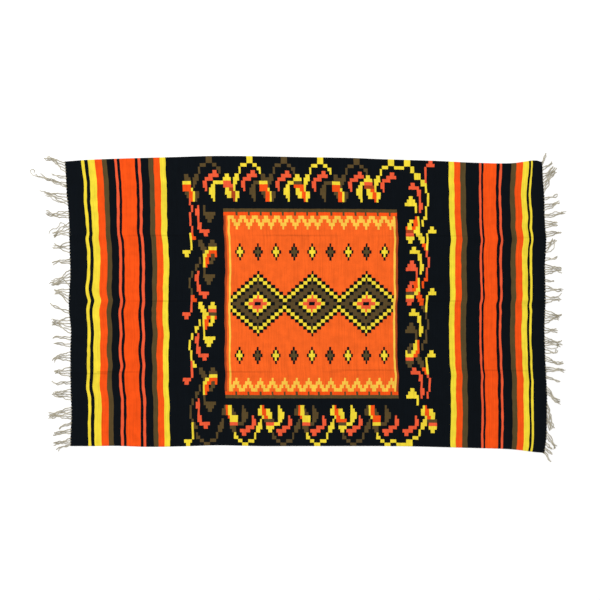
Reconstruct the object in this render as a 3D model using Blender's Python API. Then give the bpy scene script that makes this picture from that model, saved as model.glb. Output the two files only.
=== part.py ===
"""A hand-woven wool blanket lying flat, with its warp ends left as fringe.

The cloth is one loom panel: its selvages run along X and its warp ends stand out
at both X ends. Three old fold lines cross it from end to end as low soft ridges.
Each fringe is a narrow row of warp roots, parted from the cloth's end, with its
threads gathered in loose clumps. Sizes are in millimetres until the meshes are made.
"""
import math
from collections import namedtuple

import bmesh
import bpy

MM = 0.001

# Cloth
CLOTH_LENGTH = 1896.0
CLOTH_WIDTH = 1160.0
WALL = 2.5
COLUMN_STEP = 42.0
ROW_STEP = 48.0
CREASE_ROWS_EACH_SIDE = 3
SWAY_FADE = 3
BLACK_WOOL = (0.006, 0.007, 0.010)

# Fringe
SEAM_GAP = 0.3
ROOT_ROW_DEPTH = 3.0
ROOT_ROW_INSET = 1.0
THREAD_WIDTH = 2.2
THREAD_HEIGHT = 1.9
TIP_TAPER = 0.7
FLOOR_CLEARANCE = 0.45
LANE_SPACING = 2.9
THREAD_SEGMENTS = 5
MEET_STEP = 3
THREAD_ARCH = 1.4
SHORTEST_END = 0.72
COTTON = (0.62, 0.57, 0.47)

# Selvages: how far the upper and lower edge stray from straight, at stations along X
Selvage = namedtuple("Selvage", "x upper lower")
SELVAGES = (
    Selvage(-948.0, -18.0, 4.0),
    Selvage(-870.0, -12.0, 4.0),
    Selvage(-773.0, -8.0, 5.0),
    Selvage(-650.0, -4.0, 1.0),
    Selvage(-509.0, 0.0, 3.0),
    Selvage(-368.0, 4.0, 7.0),
    Selvage(-197.0, 3.0, 4.0),
    Selvage(-29.0, 0.0, 4.0),
    Selvage(187.0, -4.0, 4.0),
    Selvage(283.0, -8.0, 4.0),
    Selvage(403.0, -12.0, 3.0),
    Selvage(523.0, -16.0, 0.0),
    Selvage(667.0, -23.0, -4.0),
    Selvage(811.0, -25.0, -9.0),
    Selvage(907.0, -13.0, -20.0),
    Selvage(948.0, -20.0, -23.0),
)

# Ends: how far the left and right end stray from straight, at stations along Y
EndShift = namedtuple("EndShift", "y left right")
END_SHIFTS = (
    EndShift(-580.0, 4.0, -3.0),
    EndShift(-548.0, 4.0, 2.0),
    EndShift(-512.0, 5.0, 6.0),
    EndShift(-424.0, 7.0, 8.0),
    EndShift(-328.0, 4.0, 6.0),
    EndShift(-232.0, 3.0, 1.0),
    EndShift(-172.0, 4.0, -1.0),
    EndShift(-112.0, 5.0, -2.0),
    EndShift(-40.0, -2.0, 0.0),
    EndShift(40.0, -1.0, 1.0),
    EndShift(100.0, 2.0, 1.0),
    EndShift(152.0, 2.0, 0.0),
    EndShift(240.0, 0.0, 4.0),
    EndShift(305.0, -2.0, 1.0),
    EndShift(368.0, -4.0, -2.0),
    EndShift(440.0, -11.0, -4.0),
    EndShift(512.0, -15.0, -8.0),
    EndShift(580.0, -19.0, -11.0),
)

# Old fold lines: where each one runs, how high it stands along its length, and its half-width
Crease = namedtuple("Crease", "name y_left y_right high_left high_middle high_right half_width")
CREASES = (
    Crease("upper fold", 266.0, 262.0, 3.4, 2.2, 3.0, 34.0),
    Crease("middle fold", 2.0, 0.0, 4.2, 2.6, 3.4, 30.0),
    Crease("lower fold", -284.0, -270.0, 4.6, 2.4, 3.8, 40.0),
)

# Fringe clumps, from the upper corner down. Roots run from root_high to root_low along the
# end; "out" is measured from the cloth's end. The threads close up at the meeting place
# and lie side by side from there to the tip.
Clump = namedtuple("Clump", "root_high root_low meet_out meet_y tip_out tip_y threads")
LEFT_CLUMPS = (
    Clump(556.0, 518.0, 44.0, 566.0, 92.0, 584.0, 4),
    Clump(503.0, 494.0, 38.0, 504.0, 68.0, 514.0, 2),
    Clump(476.0, 459.0, 66.0, 488.0, 134.0, 518.0, 3),
    Clump(432.0, 388.0, 66.0, 430.0, 100.0, 433.0, 4),
    Clump(364.0, 336.0, 74.0, 350.0, 107.0, 366.0, 4),
    Clump(318.0, 265.0, 48.0, 278.0, 78.0, 262.0, 5),
    Clump(241.0, 196.0, 43.0, 220.0, 80.0, 224.0, 4),
    Clump(171.0, 154.0, 48.0, 162.0, 81.0, 153.0, 3),
    Clump(130.0, 75.0, 52.0, 79.0, 86.0, 64.0, 5),
    Clump(52.0, -8.0, 44.0, 42.0, 68.0, 38.0, 5),
    Clump(-36.0, -46.0, 45.0, -24.0, 86.0, -3.0, 2),
    Clump(-60.0, -127.0, 54.0, -83.0, 86.0, -78.0, 6),
    Clump(-141.0, -152.0, 54.0, -139.0, 86.0, -148.0, 2),
    Clump(-168.0, -180.0, 54.0, -165.0, 80.0, -161.0, 2),
    Clump(-198.0, -236.0, 56.0, -222.0, 80.0, -239.0, 4),
    Clump(-260.0, -298.0, 54.0, -280.0, 72.0, -284.0, 4),
    Clump(-318.0, -327.0, 64.0, -325.0, 84.0, -312.0, 2),
    Clump(-348.0, -392.0, 66.0, -367.0, 80.0, -358.0, 5),
    Clump(-420.0, -468.0, 62.0, -450.0, 102.0, -459.0, 6),
    Clump(-482.0, -489.0, 34.0, -497.0, 60.0, -511.0, 2),
    Clump(-508.0, -526.0, 54.0, -524.0, 76.0, -530.0, 3),
    Clump(-544.0, -562.0, 40.0, -562.0, 80.0, -568.0, 3),
    Clump(-567.0, -572.0, 38.0, -580.0, 66.0, -598.0, 2),
)
RIGHT_CLUMPS = (
    Clump(556.0, 546.0, 12.0, 578.0, 16.0, 602.0, 2),
    Clump(538.0, 527.0, 32.0, 550.0, 46.0, 563.0, 2),
    Clump(513.0, 434.0, 30.0, 510.0, 64.0, 541.0, 7),
    Clump(416.0, 407.0, 26.0, 418.0, 64.0, 427.0, 2),
    Clump(389.0, 366.0, 50.0, 394.0, 75.0, 402.0, 3),
    Clump(347.0, 339.0, 42.0, 346.0, 88.0, 362.0, 2),
    Clump(326.0, 296.0, 44.0, 312.0, 57.0, 315.0, 4),
    Clump(280.0, 260.0, 44.0, 277.0, 70.0, 278.0, 3),
    Clump(237.0, 198.0, 22.0, 236.0, 46.0, 256.0, 4),
    Clump(177.0, 166.0, 30.0, 173.0, 62.0, 187.0, 2),
    Clump(151.0, 109.0, 48.0, 131.0, 77.0, 125.0, 5),
    Clump(90.0, 82.0, 24.0, 84.0, 46.0, 82.0, 2),
    Clump(67.0, 43.0, 34.0, 50.0, 79.0, 46.0, 3),
    Clump(23.0, -3.0, 56.0, 12.0, 71.0, 8.0, 3),
    Clump(-32.0, -88.0, 42.0, -58.0, 73.0, -62.0, 6),
    Clump(-102.0, -126.0, 32.0, -114.0, 60.0, -112.0, 3),
    Clump(-138.0, -175.0, 34.0, -162.0, 77.0, -168.0, 5),
    Clump(-190.0, -205.0, 42.0, -202.0, 57.0, -189.0, 2),
    Clump(-216.0, -234.0, 46.0, -244.0, 87.0, -243.0, 3),
    Clump(-260.0, -277.0, 56.0, -271.0, 87.0, -278.0, 3),
    Clump(-296.0, -303.0, 32.0, -311.0, 62.0, -318.0, 2),
    Clump(-336.0, -364.0, 34.0, -390.0, 66.0, -404.0, 4),
    Clump(-396.0, -480.0, 17.0, -490.0, 28.0, -514.0, 6),
    Clump(-516.0, -540.0, 32.0, -566.0, 52.0, -590.0, 3),
    Clump(-560.0, -568.0, 22.0, -582.0, 38.0, -592.0, 2),
    Clump(-581.0, -588.0, 24.0, -602.0, 42.0, -611.0, 2),
    Clump(-595.0, -602.0, 18.0, -622.0, 32.0, -643.0, 2),
)


def clear_scene():
    """Remove every object of the open scene."""
    for item in list(bpy.data.objects):
        bpy.data.objects.remove(item, do_unlink=True)


def mix(start, end, share):
    """Go from start to end by a share of 0 to 1."""
    return start + (end - start) * share


def curve_value(stations, values, place):
    """Read a smooth curve through values at rising stations, level beyond its ends."""
    if place <= stations[0]:
        return values[0]
    if place >= stations[-1]:
        return values[-1]
    last = len(stations) - 1
    i = max(k for k in range(last) if stations[k] <= place)
    span = stations[i + 1] - stations[i]
    before = max(i - 1, 0)
    after = min(i + 2, last)
    slope_start = (values[i + 1] - values[before]) / (stations[i + 1] - stations[before])
    slope_end = (values[after] - values[i]) / (stations[after] - stations[i])
    t = (place - stations[i]) / span
    rise = t * t * (3.0 - 2.0 * t)
    leave = t * (1.0 - t) * (1.0 - t) * span * slope_start
    arrive = t * t * (t - 1.0) * span * slope_end
    return mix(values[i], values[i + 1], rise) + leave + arrive


def line_value(stations, values, place):
    """Read straight lines through values at rising stations, level beyond the ends."""
    if place <= stations[0]:
        return values[0]
    for i in range(len(stations) - 1):
        if place <= stations[i + 1]:
            share = (place - stations[i]) / (stations[i + 1] - stations[i])
            return mix(values[i], values[i + 1], share)
    return values[-1]


def selvage_shift(x, y):
    """Shift in Y at x: whole at the selvage that y is nearer to, and none at the mid line."""
    shifts = [row.upper if y > 0.0 else row.lower for row in SELVAGES]
    out = abs(y) * 2.0 / CLOTH_WIDTH
    return curve_value([row.x for row in SELVAGES], shifts, x) * out ** SWAY_FADE


def end_shift(y, share_right):
    """Shift in X at y, share_right of the way from the left to the right end."""
    stations = [row.y for row in END_SHIFTS]
    left = curve_value(stations, [row.left for row in END_SHIFTS], y)
    right = curve_value(stations, [row.right for row in END_SHIFTS], y)
    return mix(left, right, share_right)


def crease_height(x, y):
    """Height of the fold lines' ridges above the floor at a place on the cloth."""
    half_length = CLOTH_LENGTH / 2.0
    height = 0.0
    for crease in CREASES:
        share = (x + half_length) / CLOTH_LENGTH
        away = (y - mix(crease.y_left, crease.y_right, share)) / crease.half_width
        if abs(away) < 1.0:
            highs = (crease.high_left, crease.high_middle, crease.high_right)
            high = curve_value((-half_length, 0.0, half_length), highs, x)
            height += high * 0.5 * (1.0 + math.cos(math.pi * away))
    return height


def cloth_point(x, y):
    """Place a point of the straight cloth, at x and y, on the real outline."""
    share_right = x / CLOTH_LENGTH + 0.5
    return x + end_shift(y, share_right), y + selvage_shift(x, y), crease_height(x, y)


def even_stations(length, step):
    """Evenly spaced stations over a length that is centred on zero."""
    count = round(length / step)
    return [length * (i / count - 0.5) for i in range(count + 1)]


def row_stations():
    """Rows along Y: even on the flats, and closer across each fold line."""
    across = []
    for crease in CREASES:
        middle = (crease.y_left + crease.y_right) / 2.0
        step = crease.half_width / CREASE_ROWS_EACH_SIDE
        for i in range(-CREASE_ROWS_EACH_SIDE - 1, CREASE_ROWS_EACH_SIDE + 2):
            across.append(middle + i * step)
    flats = [
        y for y in even_stations(CLOTH_WIDTH, ROW_STEP)
        if min(abs(y - other) for other in across) > ROW_STEP * 0.4
    ]
    return sorted(across + flats)


def end_line(side):
    """The cloth's end as a line of points (x, y, lift) from the lower selvage up."""
    return [cloth_point(side * CLOTH_LENGTH / 2.0, y) for y in row_stations()]


def finish_object(name, mesh_data, color, roughness):
    """Turn a bmesh into a named object with its own material."""
    mesh = bpy.data.meshes.new(name)
    bmesh.ops.recalc_face_normals(mesh_data, faces=mesh_data.faces)
    mesh_data.to_mesh(mesh)
    mesh_data.free()
    material = bpy.data.materials.new(name)
    material.use_nodes = True
    shader = material.node_tree.nodes["Principled BSDF"]
    shader.inputs["Base Color"].default_value = (*color, 1.0)
    shader.inputs["Roughness"].default_value = roughness
    shader.inputs["Metallic"].default_value = 0.0
    mesh.materials.append(material)
    made = bpy.data.objects.new(name, mesh)
    bpy.context.collection.objects.link(made)
    return made


def add_vertex(mesh_data, x, y, z):
    """Add one vertex from sizes in millimetres."""
    return mesh_data.verts.new((x * MM, y * MM, z * MM))


def make_cloth():
    """The whole cloth: a wall of even thickness between its two selvages and two ends."""
    mesh_data = bmesh.new()
    columns = even_stations(CLOTH_LENGTH, COLUMN_STEP)
    rows = row_stations()
    layers = []
    for thickness in (0.0, WALL):
        layer = []
        for x in columns:
            points = [cloth_point(x, y) for y in rows]
            layer.append([add_vertex(mesh_data, px, py, pz + thickness) for px, py, pz in points])
        layers.append(layer)
    under, top = layers
    for i in range(len(columns) - 1):
        for j in range(len(rows) - 1):
            mesh_data.faces.new((top[i][j], top[i + 1][j], top[i + 1][j + 1], top[i][j + 1]))
            mesh_data.faces.new((under[i][j], under[i][j + 1], under[i + 1][j + 1], under[i + 1][j]))
    for i in range(len(columns) - 1):
        for j in (0, len(rows) - 1):
            mesh_data.faces.new((under[i][j], under[i + 1][j], top[i + 1][j], top[i][j]))
    for j in range(len(rows) - 1):
        for i in (0, len(columns) - 1):
            mesh_data.faces.new((under[i][j], under[i][j + 1], top[i][j + 1], top[i][j]))
    return finish_object("blanket_cloth", mesh_data, BLACK_WOOL, 0.95)


def ease(share):
    """Leave and arrive softly, halfway between a straight and an S-shaped run."""
    return 0.5 * share + 0.5 * share * share * (3.0 - 2.0 * share)


def left_normal(d_out, d_y):
    """Unit normal of a direction in the floor plane, a quarter turn to its left."""
    size = math.hypot(d_out, d_y)
    return -d_y / size, d_out / size


def thread_path(clump, index):
    """Centre line of one thread as (out, y) places, one for each segment end."""
    share = index / (clump.threads - 1)
    root_y = mix(clump.root_low, clump.root_high, share)
    root_out = SEAM_GAP + ROOT_ROW_DEPTH
    middle_y = (clump.root_low + clump.root_high) / 2.0
    lane = (index - (clump.threads - 1) / 2.0) * LANE_SPACING
    meet_normal = left_normal(clump.tip_out - root_out, clump.tip_y - middle_y)
    tip_normal = left_normal(clump.tip_out - clump.meet_out, clump.tip_y - clump.meet_y)
    meet = (clump.meet_out + lane * meet_normal[0], clump.meet_y + lane * meet_normal[1])
    tip = (clump.tip_out + lane * tip_normal[0], clump.tip_y + lane * tip_normal[1])
    outwards = abs(share - 0.5) * 2.0
    end_share = mix(1.0, SHORTEST_END, outwards)
    path = [(root_out, root_y)]
    for k in range(1, THREAD_SEGMENTS + 1):
        if k <= MEET_STEP:
            t = k / MEET_STEP
            path.append((mix(root_out, meet[0], t), mix(root_y, meet[1], ease(t))))
        else:
            t = end_share * (k - MEET_STEP) / (THREAD_SEGMENTS - MEET_STEP)
            path.append((mix(meet[0], tip[0], t), mix(meet[1], tip[1], t)))
    return path


def grow_thread(mesh_data, root_quad, path, side, line):
    """Grow one four-sided thread from its root quad (low-y bottom, high-y bottom, high-y top,
    low-y top) along its path, and close its tip."""
    xs = [point[0] for point in line]
    ys = [point[1] for point in line]
    lifts = [point[2] for point in line]
    root_lift = line_value(ys, lifts, path[0][1])
    last = len(path) - 1
    ring = root_quad
    for k in range(1, last + 1):
        before = path[k - 1]
        after = path[min(k + 1, last)]
        normal = left_normal(after[0] - before[0], after[1] - before[1])
        along = k / last
        half = 0.5 * THREAD_WIDTH * mix(1.0, TIP_TAPER, along)
        height = THREAD_HEIGHT * mix(1.0, TIP_TAPER, along)
        arch = THREAD_ARCH * math.sin(math.pi * along)
        low = FLOOR_CLEARANCE + arch + root_lift * (1.0 - along) * (1.0 - along)
        edges = []
        for sign in (-1.0, 1.0):
            out = path[k][0] + sign * half * normal[0]
            y = path[k][1] + sign * half * normal[1]
            edges.append((line_value(ys, xs, y) + side * out, y))
        new_ring = [
            add_vertex(mesh_data, edges[0][0], edges[0][1], low),
            add_vertex(mesh_data, edges[1][0], edges[1][1], low),
            add_vertex(mesh_data, edges[1][0], edges[1][1], low + height),
            add_vertex(mesh_data, edges[0][0], edges[0][1], low + height),
        ]
        for m in range(4):
            n = (m + 1) % 4
            mesh_data.faces.new((ring[m], ring[n], new_ring[n], new_ring[m]))
        ring = new_ring
    mesh_data.faces.new(ring)


def make_fringe(name, side, clumps):
    """One end's fringe: a narrow row of roots along the cloth's end, and its threads."""
    mesh_data = bmesh.new()
    line = end_line(side)
    xs = [point[0] for point in line]
    ys = [point[1] for point in line]
    lifts = [point[2] for point in line]
    paths = [thread_path(clump, i) for clump in clumps for i in range(clump.threads)]
    paths.sort(key=lambda path: path[0][1])
    roots = [path[0][1] for path in paths]
    half = THREAD_WIDTH / 2.0
    root_edges = [root + sign * half for root in roots for sign in (-1.0, 1.0)]
    between = [y for y in ys[1:-1] if min(abs(y - root) for root in roots) > THREAD_WIDTH]
    stations = sorted([ys[0] + ROOT_ROW_INSET, ys[-1] - ROOT_ROW_INSET] + root_edges + between)
    sections = []
    for y in stations:
        end_x = line_value(ys, xs, y)
        low = FLOOR_CLEARANCE + line_value(ys, lifts, y)
        inner = end_x + side * SEAM_GAP
        outer = inner + side * ROOT_ROW_DEPTH
        corners = ((inner, low), (outer, low), (outer, low + THREAD_HEIGHT), (inner, low + THREAD_HEIGHT))
        sections.append([add_vertex(mesh_data, x, y, z) for x, z in corners])
    threads_at = {stations.index(path[0][1] - half): path for path in paths}
    for k in range(len(stations) - 1):
        here = sections[k]
        there = sections[k + 1]
        for m in (0, 2, 3):
            n = (m + 1) % 4
            mesh_data.faces.new((here[m], here[n], there[n], there[m]))
        outer_quad = [here[1], there[1], there[2], here[2]]
        if k in threads_at:
            grow_thread(mesh_data, outer_quad, threads_at[k], side, line)
        else:
            mesh_data.faces.new(outer_quad)
    mesh_data.faces.new(sections[0])
    mesh_data.faces.new(sections[-1])
    return finish_object(name, mesh_data, COTTON, 0.9)


def centre_on_origin(pieces):
    """Move the pieces so that the whole outline is centred over the origin."""
    for axis in (0, 1):
        places = [vertex.co[axis] for piece in pieces for vertex in piece.data.vertices]
        middle = (min(places) + max(places)) / 2.0
        for piece in pieces:
            for vertex in piece.data.vertices:
                vertex.co[axis] -= middle


def main():
    """Build the blanket."""
    clear_scene()
    pieces = [
        make_cloth(),
        make_fringe("fringe_left", -1.0, LEFT_CLUMPS),
        make_fringe("fringe_right", 1.0, RIGHT_CLUMPS),
    ]
    centre_on_origin(pieces)


main()
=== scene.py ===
"""A hand-woven wool blanket lying flat on the floor, seen from straight above.

The blanket is one loom panel of weft-faced tapestry. Its warp runs along X and leaves
both ends as fringe. Its weft runs along Y, hides the warp and carries all the colour.
Sizes are in millimetres and become metres as the meshes are made.
"""
import logging
import math
from dataclasses import dataclass, field
from enum import Enum
from typing import NamedTuple, Sequence

import bpy
import numpy as np
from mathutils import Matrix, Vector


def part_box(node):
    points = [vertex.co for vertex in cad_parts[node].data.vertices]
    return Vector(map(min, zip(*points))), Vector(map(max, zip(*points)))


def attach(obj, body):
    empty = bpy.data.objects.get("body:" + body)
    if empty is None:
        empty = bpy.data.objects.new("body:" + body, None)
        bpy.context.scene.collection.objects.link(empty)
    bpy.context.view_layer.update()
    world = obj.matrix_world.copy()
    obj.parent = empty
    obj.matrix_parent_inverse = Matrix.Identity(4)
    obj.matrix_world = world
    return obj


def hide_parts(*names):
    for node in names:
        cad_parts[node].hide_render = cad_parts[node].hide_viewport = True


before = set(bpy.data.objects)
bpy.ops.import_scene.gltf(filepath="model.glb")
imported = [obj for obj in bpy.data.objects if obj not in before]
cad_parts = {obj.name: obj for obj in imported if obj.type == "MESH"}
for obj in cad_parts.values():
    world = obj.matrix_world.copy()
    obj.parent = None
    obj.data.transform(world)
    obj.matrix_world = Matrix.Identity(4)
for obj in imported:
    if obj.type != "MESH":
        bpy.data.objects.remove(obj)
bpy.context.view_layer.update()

LOG = logging.getLogger("blanket")
MM = 0.001
SMOOTH_ANGLE = 50.0


class Wool(Enum):
    """The dyed wools of the weft, as sRGB hex colours."""

    BLACK = "#070C11"
    YELLOW = "#E4CC35"
    GOLD = "#EAB944"
    ORANGE = "#E74D12"
    PANEL = "#E75D1E"
    EMBER = "#E05532"
    RUST = "#A03F1B"
    OLIVE = "#524225"


class End(Enum):
    """The blanket's two ends, with the sign of their direction along X."""

    LEFT = -1.0
    RIGHT = 1.0


class Stripe(NamedTuple):
    """One stripe of an end, counted along X."""

    wool: Wool
    width: float


LEFT_STRIPES = tuple(Stripe(*values) for values in (
    (Wool.BLACK, 62),
    (Wool.YELLOW, 12),
    (Wool.BLACK, 14),
    (Wool.YELLOW, 28),
    (Wool.ORANGE, 29),
    (Wool.OLIVE, 20),
    (Wool.BLACK, 30),
    (Wool.EMBER, 11),
    (Wool.BLACK, 11),
    (Wool.ORANGE, 57),
    (Wool.BLACK, 11),
    (Wool.EMBER, 11),
    (Wool.BLACK, 30),
    (Wool.OLIVE, 19),
    (Wool.ORANGE, 24),
    (Wool.YELLOW, 22),
))
RIGHT_STRIPES = tuple(Stripe(*values) for values in (
    (Wool.YELLOW, 21),
    (Wool.ORANGE, 24),
    (Wool.OLIVE, 21),
    (Wool.BLACK, 53),
    (Wool.EMBER, 8),
    (Wool.BLACK, 8),
    (Wool.ORANGE, 51),
    (Wool.BLACK, 12),
    (Wool.EMBER, 9),
    (Wool.BLACK, 36),
    (Wool.OLIVE, 20),
    (Wool.ORANGE, 26),
    (Wool.YELLOW, 22),
    (Wool.BLACK, 9),
    (Wool.YELLOW, 9),
    (Wool.BLACK, 52),
))


class Selvage(NamedTuple):
    """How far the upper and the lower edge stray from straight at a place along X."""

    x: float
    upper: float
    lower: float


SELVAGES = tuple(Selvage(*values) for values in (
    (-948, -18, 4),
    (-870, -12, 4),
    (-773, -8, 5),
    (-650, -4, 1),
    (-509, 0, 3),
    (-368, 4, 7),
    (-197, 3, 4),
    (-29, 0, 4),
    (187, -4, 4),
    (283, -8, 4),
    (403, -12, 3),
    (523, -16, 0),
    (667, -23, -4),
    (811, -25, -9),
    (907, -13, -20),
    (948, -20, -23),
))


class EndShift(NamedTuple):
    """How far the left and the right end stray from straight at a place along Y."""

    y: float
    left: float
    right: float


END_SHIFTS = tuple(EndShift(*values) for values in (
    (-580, 4, -3),
    (-548, 4, 2),
    (-512, 5, 6),
    (-424, 7, 8),
    (-328, 4, 6),
    (-232, 3, 1),
    (-172, 4, -1),
    (-112, 5, -2),
    (-40, -2, 0),
    (40, -1, 1),
    (100, 2, 1),
    (152, 2, 0),
    (240, 0, 4),
    (305, -2, 1),
    (368, -4, -2),
    (440, -11, -4),
    (512, -15, -8),
    (580, -19, -11),
))


class Wander(NamedTuple):
    """How far three stripes of one end wander along X at a place along Y."""

    y: float
    outer: float
    middle: float
    inner: float


LEFT_WANDER = tuple(Wander(*values) for values in (
    (-580, 11, 9, 8),
    (-531, 9, 7, 8),
    (-481, 9, 8, 6),
    (-392, 10, 8, 6),
    (-344, 2, 2, 2),
    (-291, 6, 0, 4),
    (-255, 5, 6, 2),
    (-215, 6, -1, 1),
    (-182, 6, -2, 2),
    (-132, 8, 2, 5),
    (-84, 6, -1, 2),
    (-35, 2, -3, 1),
    (-15, 5, 2, 1),
    (5, 10, 5, 2),
    (28, 3, 2, 2),
    (58, -1, 0, 2),
    (95, 4, 1, 3),
    (128, 6, 1, 5),
    (202, 6, 0, 2),
    (239, 2, -2, 0),
    (255, 0, -4, -1),
    (278, 4, -9, -4),
    (322, 0, -9, -3),
    (348, -1, -9, -4),
    (409, -7, -9, -5),
    (475, -7, -12, -6),
    (525, -12, -16, -9),
    (580, -19, -20, -11),
))
RIGHT_WANDER = tuple(Wander(*values) for values in (
    (-591, 2, 10, 7),
    (-558, 8, 10, 5),
    (-525, 10, 10, 6),
    (-458, 10, 12, 8),
    (-392, 8, 11, 7),
    (-354, 8, 9, 6),
    (-315, 10, 9, 7),
    (-295, 7, 10, 8),
    (-262, 4, 6, 4),
    (-222, 4, 5, 2),
    (-172, 1, 3, 1),
    (-111, 0, 2, 0),
    (-45, 3, 3, 1),
    (-11, 1, 3, 1),
    (12, 4, 8, 4),
    (38, 4, 8, 5),
    (88, 4, 6, 3),
    (166, 2, 4, 3),
    (215, 4, 5, 4),
    (248, 9, 9, 7),
    (275, 6, 6, 5),
    (305, 2, 4, 4),
    (348, 5, 2, 1),
    (409, -1, 2, 0),
    (459, -1, 1, 0),
    (508, 4, 1, -2),
    (552, 8, 2, -2),
))
OUTER_STRIPES_FROM_END = 61.5
LEFT_MIDDLE_FROM_END = 217.0
RIGHT_MIDDLE_FROM_END = 246.0


class Crease(NamedTuple):
    """One old fold line: where it runs, how high it stands along X, and its half-width."""

    y_left: float
    y_right: float
    high_left: float
    high_middle: float
    high_right: float
    half_width: float

    def middle(self, share: np.ndarray) -> np.ndarray:
        """Its place across the cloth, at shares of the cloth's length from the left end."""
        return self.y_left + (self.y_right - self.y_left) * share


CREASES = (
    Crease(266.0, 262.0, 3.4, 2.2, 3.0, 34.0),
    Crease(2.0, 0.0, 4.2, 2.6, 3.4, 30.0),
    Crease(-284.0, -270.0, 4.6, 2.4, 3.8, 40.0),
)


class Clump(NamedTuple):
    """A clump of fringe threads: its roots, its meeting place, its tip and its threads."""

    root_high: float
    root_low: float
    meet_out: float
    meet_y: float
    tip_out: float
    tip_y: float
    threads: int


LEFT_CLUMPS = tuple(Clump(*values) for values in (
    (556, 518, 44, 566, 92, 584, 4),
    (503, 494, 38, 504, 68, 514, 2),
    (476, 459, 66, 488, 134, 518, 3),
    (432, 388, 66, 430, 100, 433, 4),
    (364, 336, 74, 350, 107, 366, 4),
    (318, 265, 48, 278, 78, 262, 5),
    (241, 196, 43, 220, 80, 224, 4),
    (171, 154, 48, 162, 81, 153, 3),
    (130, 75, 52, 79, 86, 64, 5),
    (52, -8, 44, 42, 68, 38, 5),
    (-36, -46, 45, -24, 86, -3, 2),
    (-60, -127, 54, -83, 86, -78, 6),
    (-141, -152, 54, -139, 86, -148, 2),
    (-168, -180, 54, -165, 80, -161, 2),
    (-198, -236, 56, -222, 80, -239, 4),
    (-260, -298, 54, -280, 72, -284, 4),
    (-318, -327, 64, -325, 84, -312, 2),
    (-348, -392, 66, -367, 80, -358, 5),
    (-420, -468, 62, -450, 102, -459, 6),
    (-482, -489, 34, -497, 60, -511, 2),
    (-508, -526, 54, -524, 76, -530, 3),
    (-544, -562, 40, -562, 80, -568, 3),
    (-567, -572, 38, -580, 66, -598, 2),
))
RIGHT_CLUMPS = tuple(Clump(*values) for values in (
    (556, 546, 12, 578, 16, 602, 2),
    (538, 527, 32, 550, 46, 563, 2),
    (513, 434, 30, 510, 64, 541, 7),
    (416, 407, 26, 418, 64, 427, 2),
    (389, 366, 50, 394, 75, 402, 3),
    (347, 339, 42, 346, 88, 362, 2),
    (326, 296, 44, 312, 57, 315, 4),
    (280, 260, 44, 277, 70, 278, 3),
    (237, 198, 22, 236, 46, 256, 4),
    (177, 166, 30, 173, 62, 187, 2),
    (151, 109, 48, 131, 77, 125, 5),
    (90, 82, 24, 84, 46, 82, 2),
    (67, 43, 34, 50, 79, 46, 3),
    (23, -3, 56, 12, 71, 8, 3),
    (-32, -88, 42, -58, 73, -62, 6),
    (-102, -126, 32, -114, 60, -112, 3),
    (-138, -175, 34, -162, 77, -168, 5),
    (-190, -205, 42, -202, 57, -189, 2),
    (-216, -234, 46, -244, 87, -243, 3),
    (-260, -277, 56, -271, 87, -278, 3),
    (-296, -303, 32, -311, 62, -318, 2),
    (-336, -364, 34, -390, 66, -404, 4),
    (-396, -480, 17, -490, 28, -514, 6),
    (-516, -540, 32, -566, 52, -590, 3),
    (-560, -568, 22, -582, 38, -592, 2),
    (-581, -588, 24, -602, 42, -611, 2),
    (-595, -602, 18, -622, 32, -643, 2),
))

# Loose single yarns beside the clumps, each a route of listed (out, y) places
LEFT_STRAYS = (
    ((0, 462), (38, 480), (72, 490), (106, 500), (128, 505),
     (140, 514), (143, 526), (134, 531), (126, 524), (130, 514)),
    ((0, 404), (30, 398), (62, 412), (84, 438), (112, 446)),
    ((0, 290), (34, 318), (50, 296), (74, 290), (86, 272)),
    ((0, 60), (26, 88), (52, 96), (78, 84)),
)
RIGHT_STRAYS = (
    ((0, 350), (24, 352), (48, 362), (64, 356), (90, 364)),
    ((0, 196), (26, 206), (36, 226), (30, 246), (16, 238)),
    ((0, 30), (20, 18), (52, 22), (70, 36)),
    ((0, -180), (30, -186), (54, -180), (58, -166)),
)


def linear(hex_colour: str) -> tuple[float, float, float, float]:
    """Turn an sRGB hex colour into linear RGBA.

    Args:
        hex_colour: A colour such as "#0E1419".

    Returns:
        Red, green, blue and alpha, each from 0 to 1.
    """
    channels = []
    for start in (1, 3, 5):
        value = int(hex_colour[start:start + 2], 16) / 255.0
        channels.append(value / 12.92 if value <= 0.04045 else ((value + 0.055) / 1.055) ** 2.4)
    return channels[0], channels[1], channels[2], 1.0


def add_node(
    tree: bpy.types.NodeTree,
    kind: str,
    settings: dict | None = None,
    values: dict | None = None,
    links: dict | None = None,
) -> bpy.types.Node:
    """Add one shader node with its settings and links.

    Args:
        tree: The node tree that gets the node.
        kind: The node's type name.
        settings: Property names and their values.
        values: Input sockets, by name or number, and their constant values.
        links: Input sockets, by name or number, and the output sockets that feed them.

    Returns:
        The new node.
    """
    node = tree.nodes.new(kind)
    for name, value in (settings or {}).items():
        setattr(node, name, value)
    for key, value in (values or {}).items():
        node.inputs[key].default_value = value
    for key, socket in (links or {}).items():
        tree.links.new(socket, node.inputs[key])
    return node


def new_material(
    name: str, values: dict
) -> tuple[bpy.types.Material, bpy.types.NodeTree, bpy.types.Node]:
    """Make a material with its Principled shader.

    Args:
        name: The real material's name.
        values: The shader's input names and their constant values.

    Returns:
        The material, its node tree and its shader node.
    """
    material = bpy.data.materials.new(name)
    material.use_nodes = True
    shader = material.node_tree.nodes["Principled BSDF"]
    for key, value in values.items():
        shader.inputs[key].default_value = value
    return material, material.node_tree, shader


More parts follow.
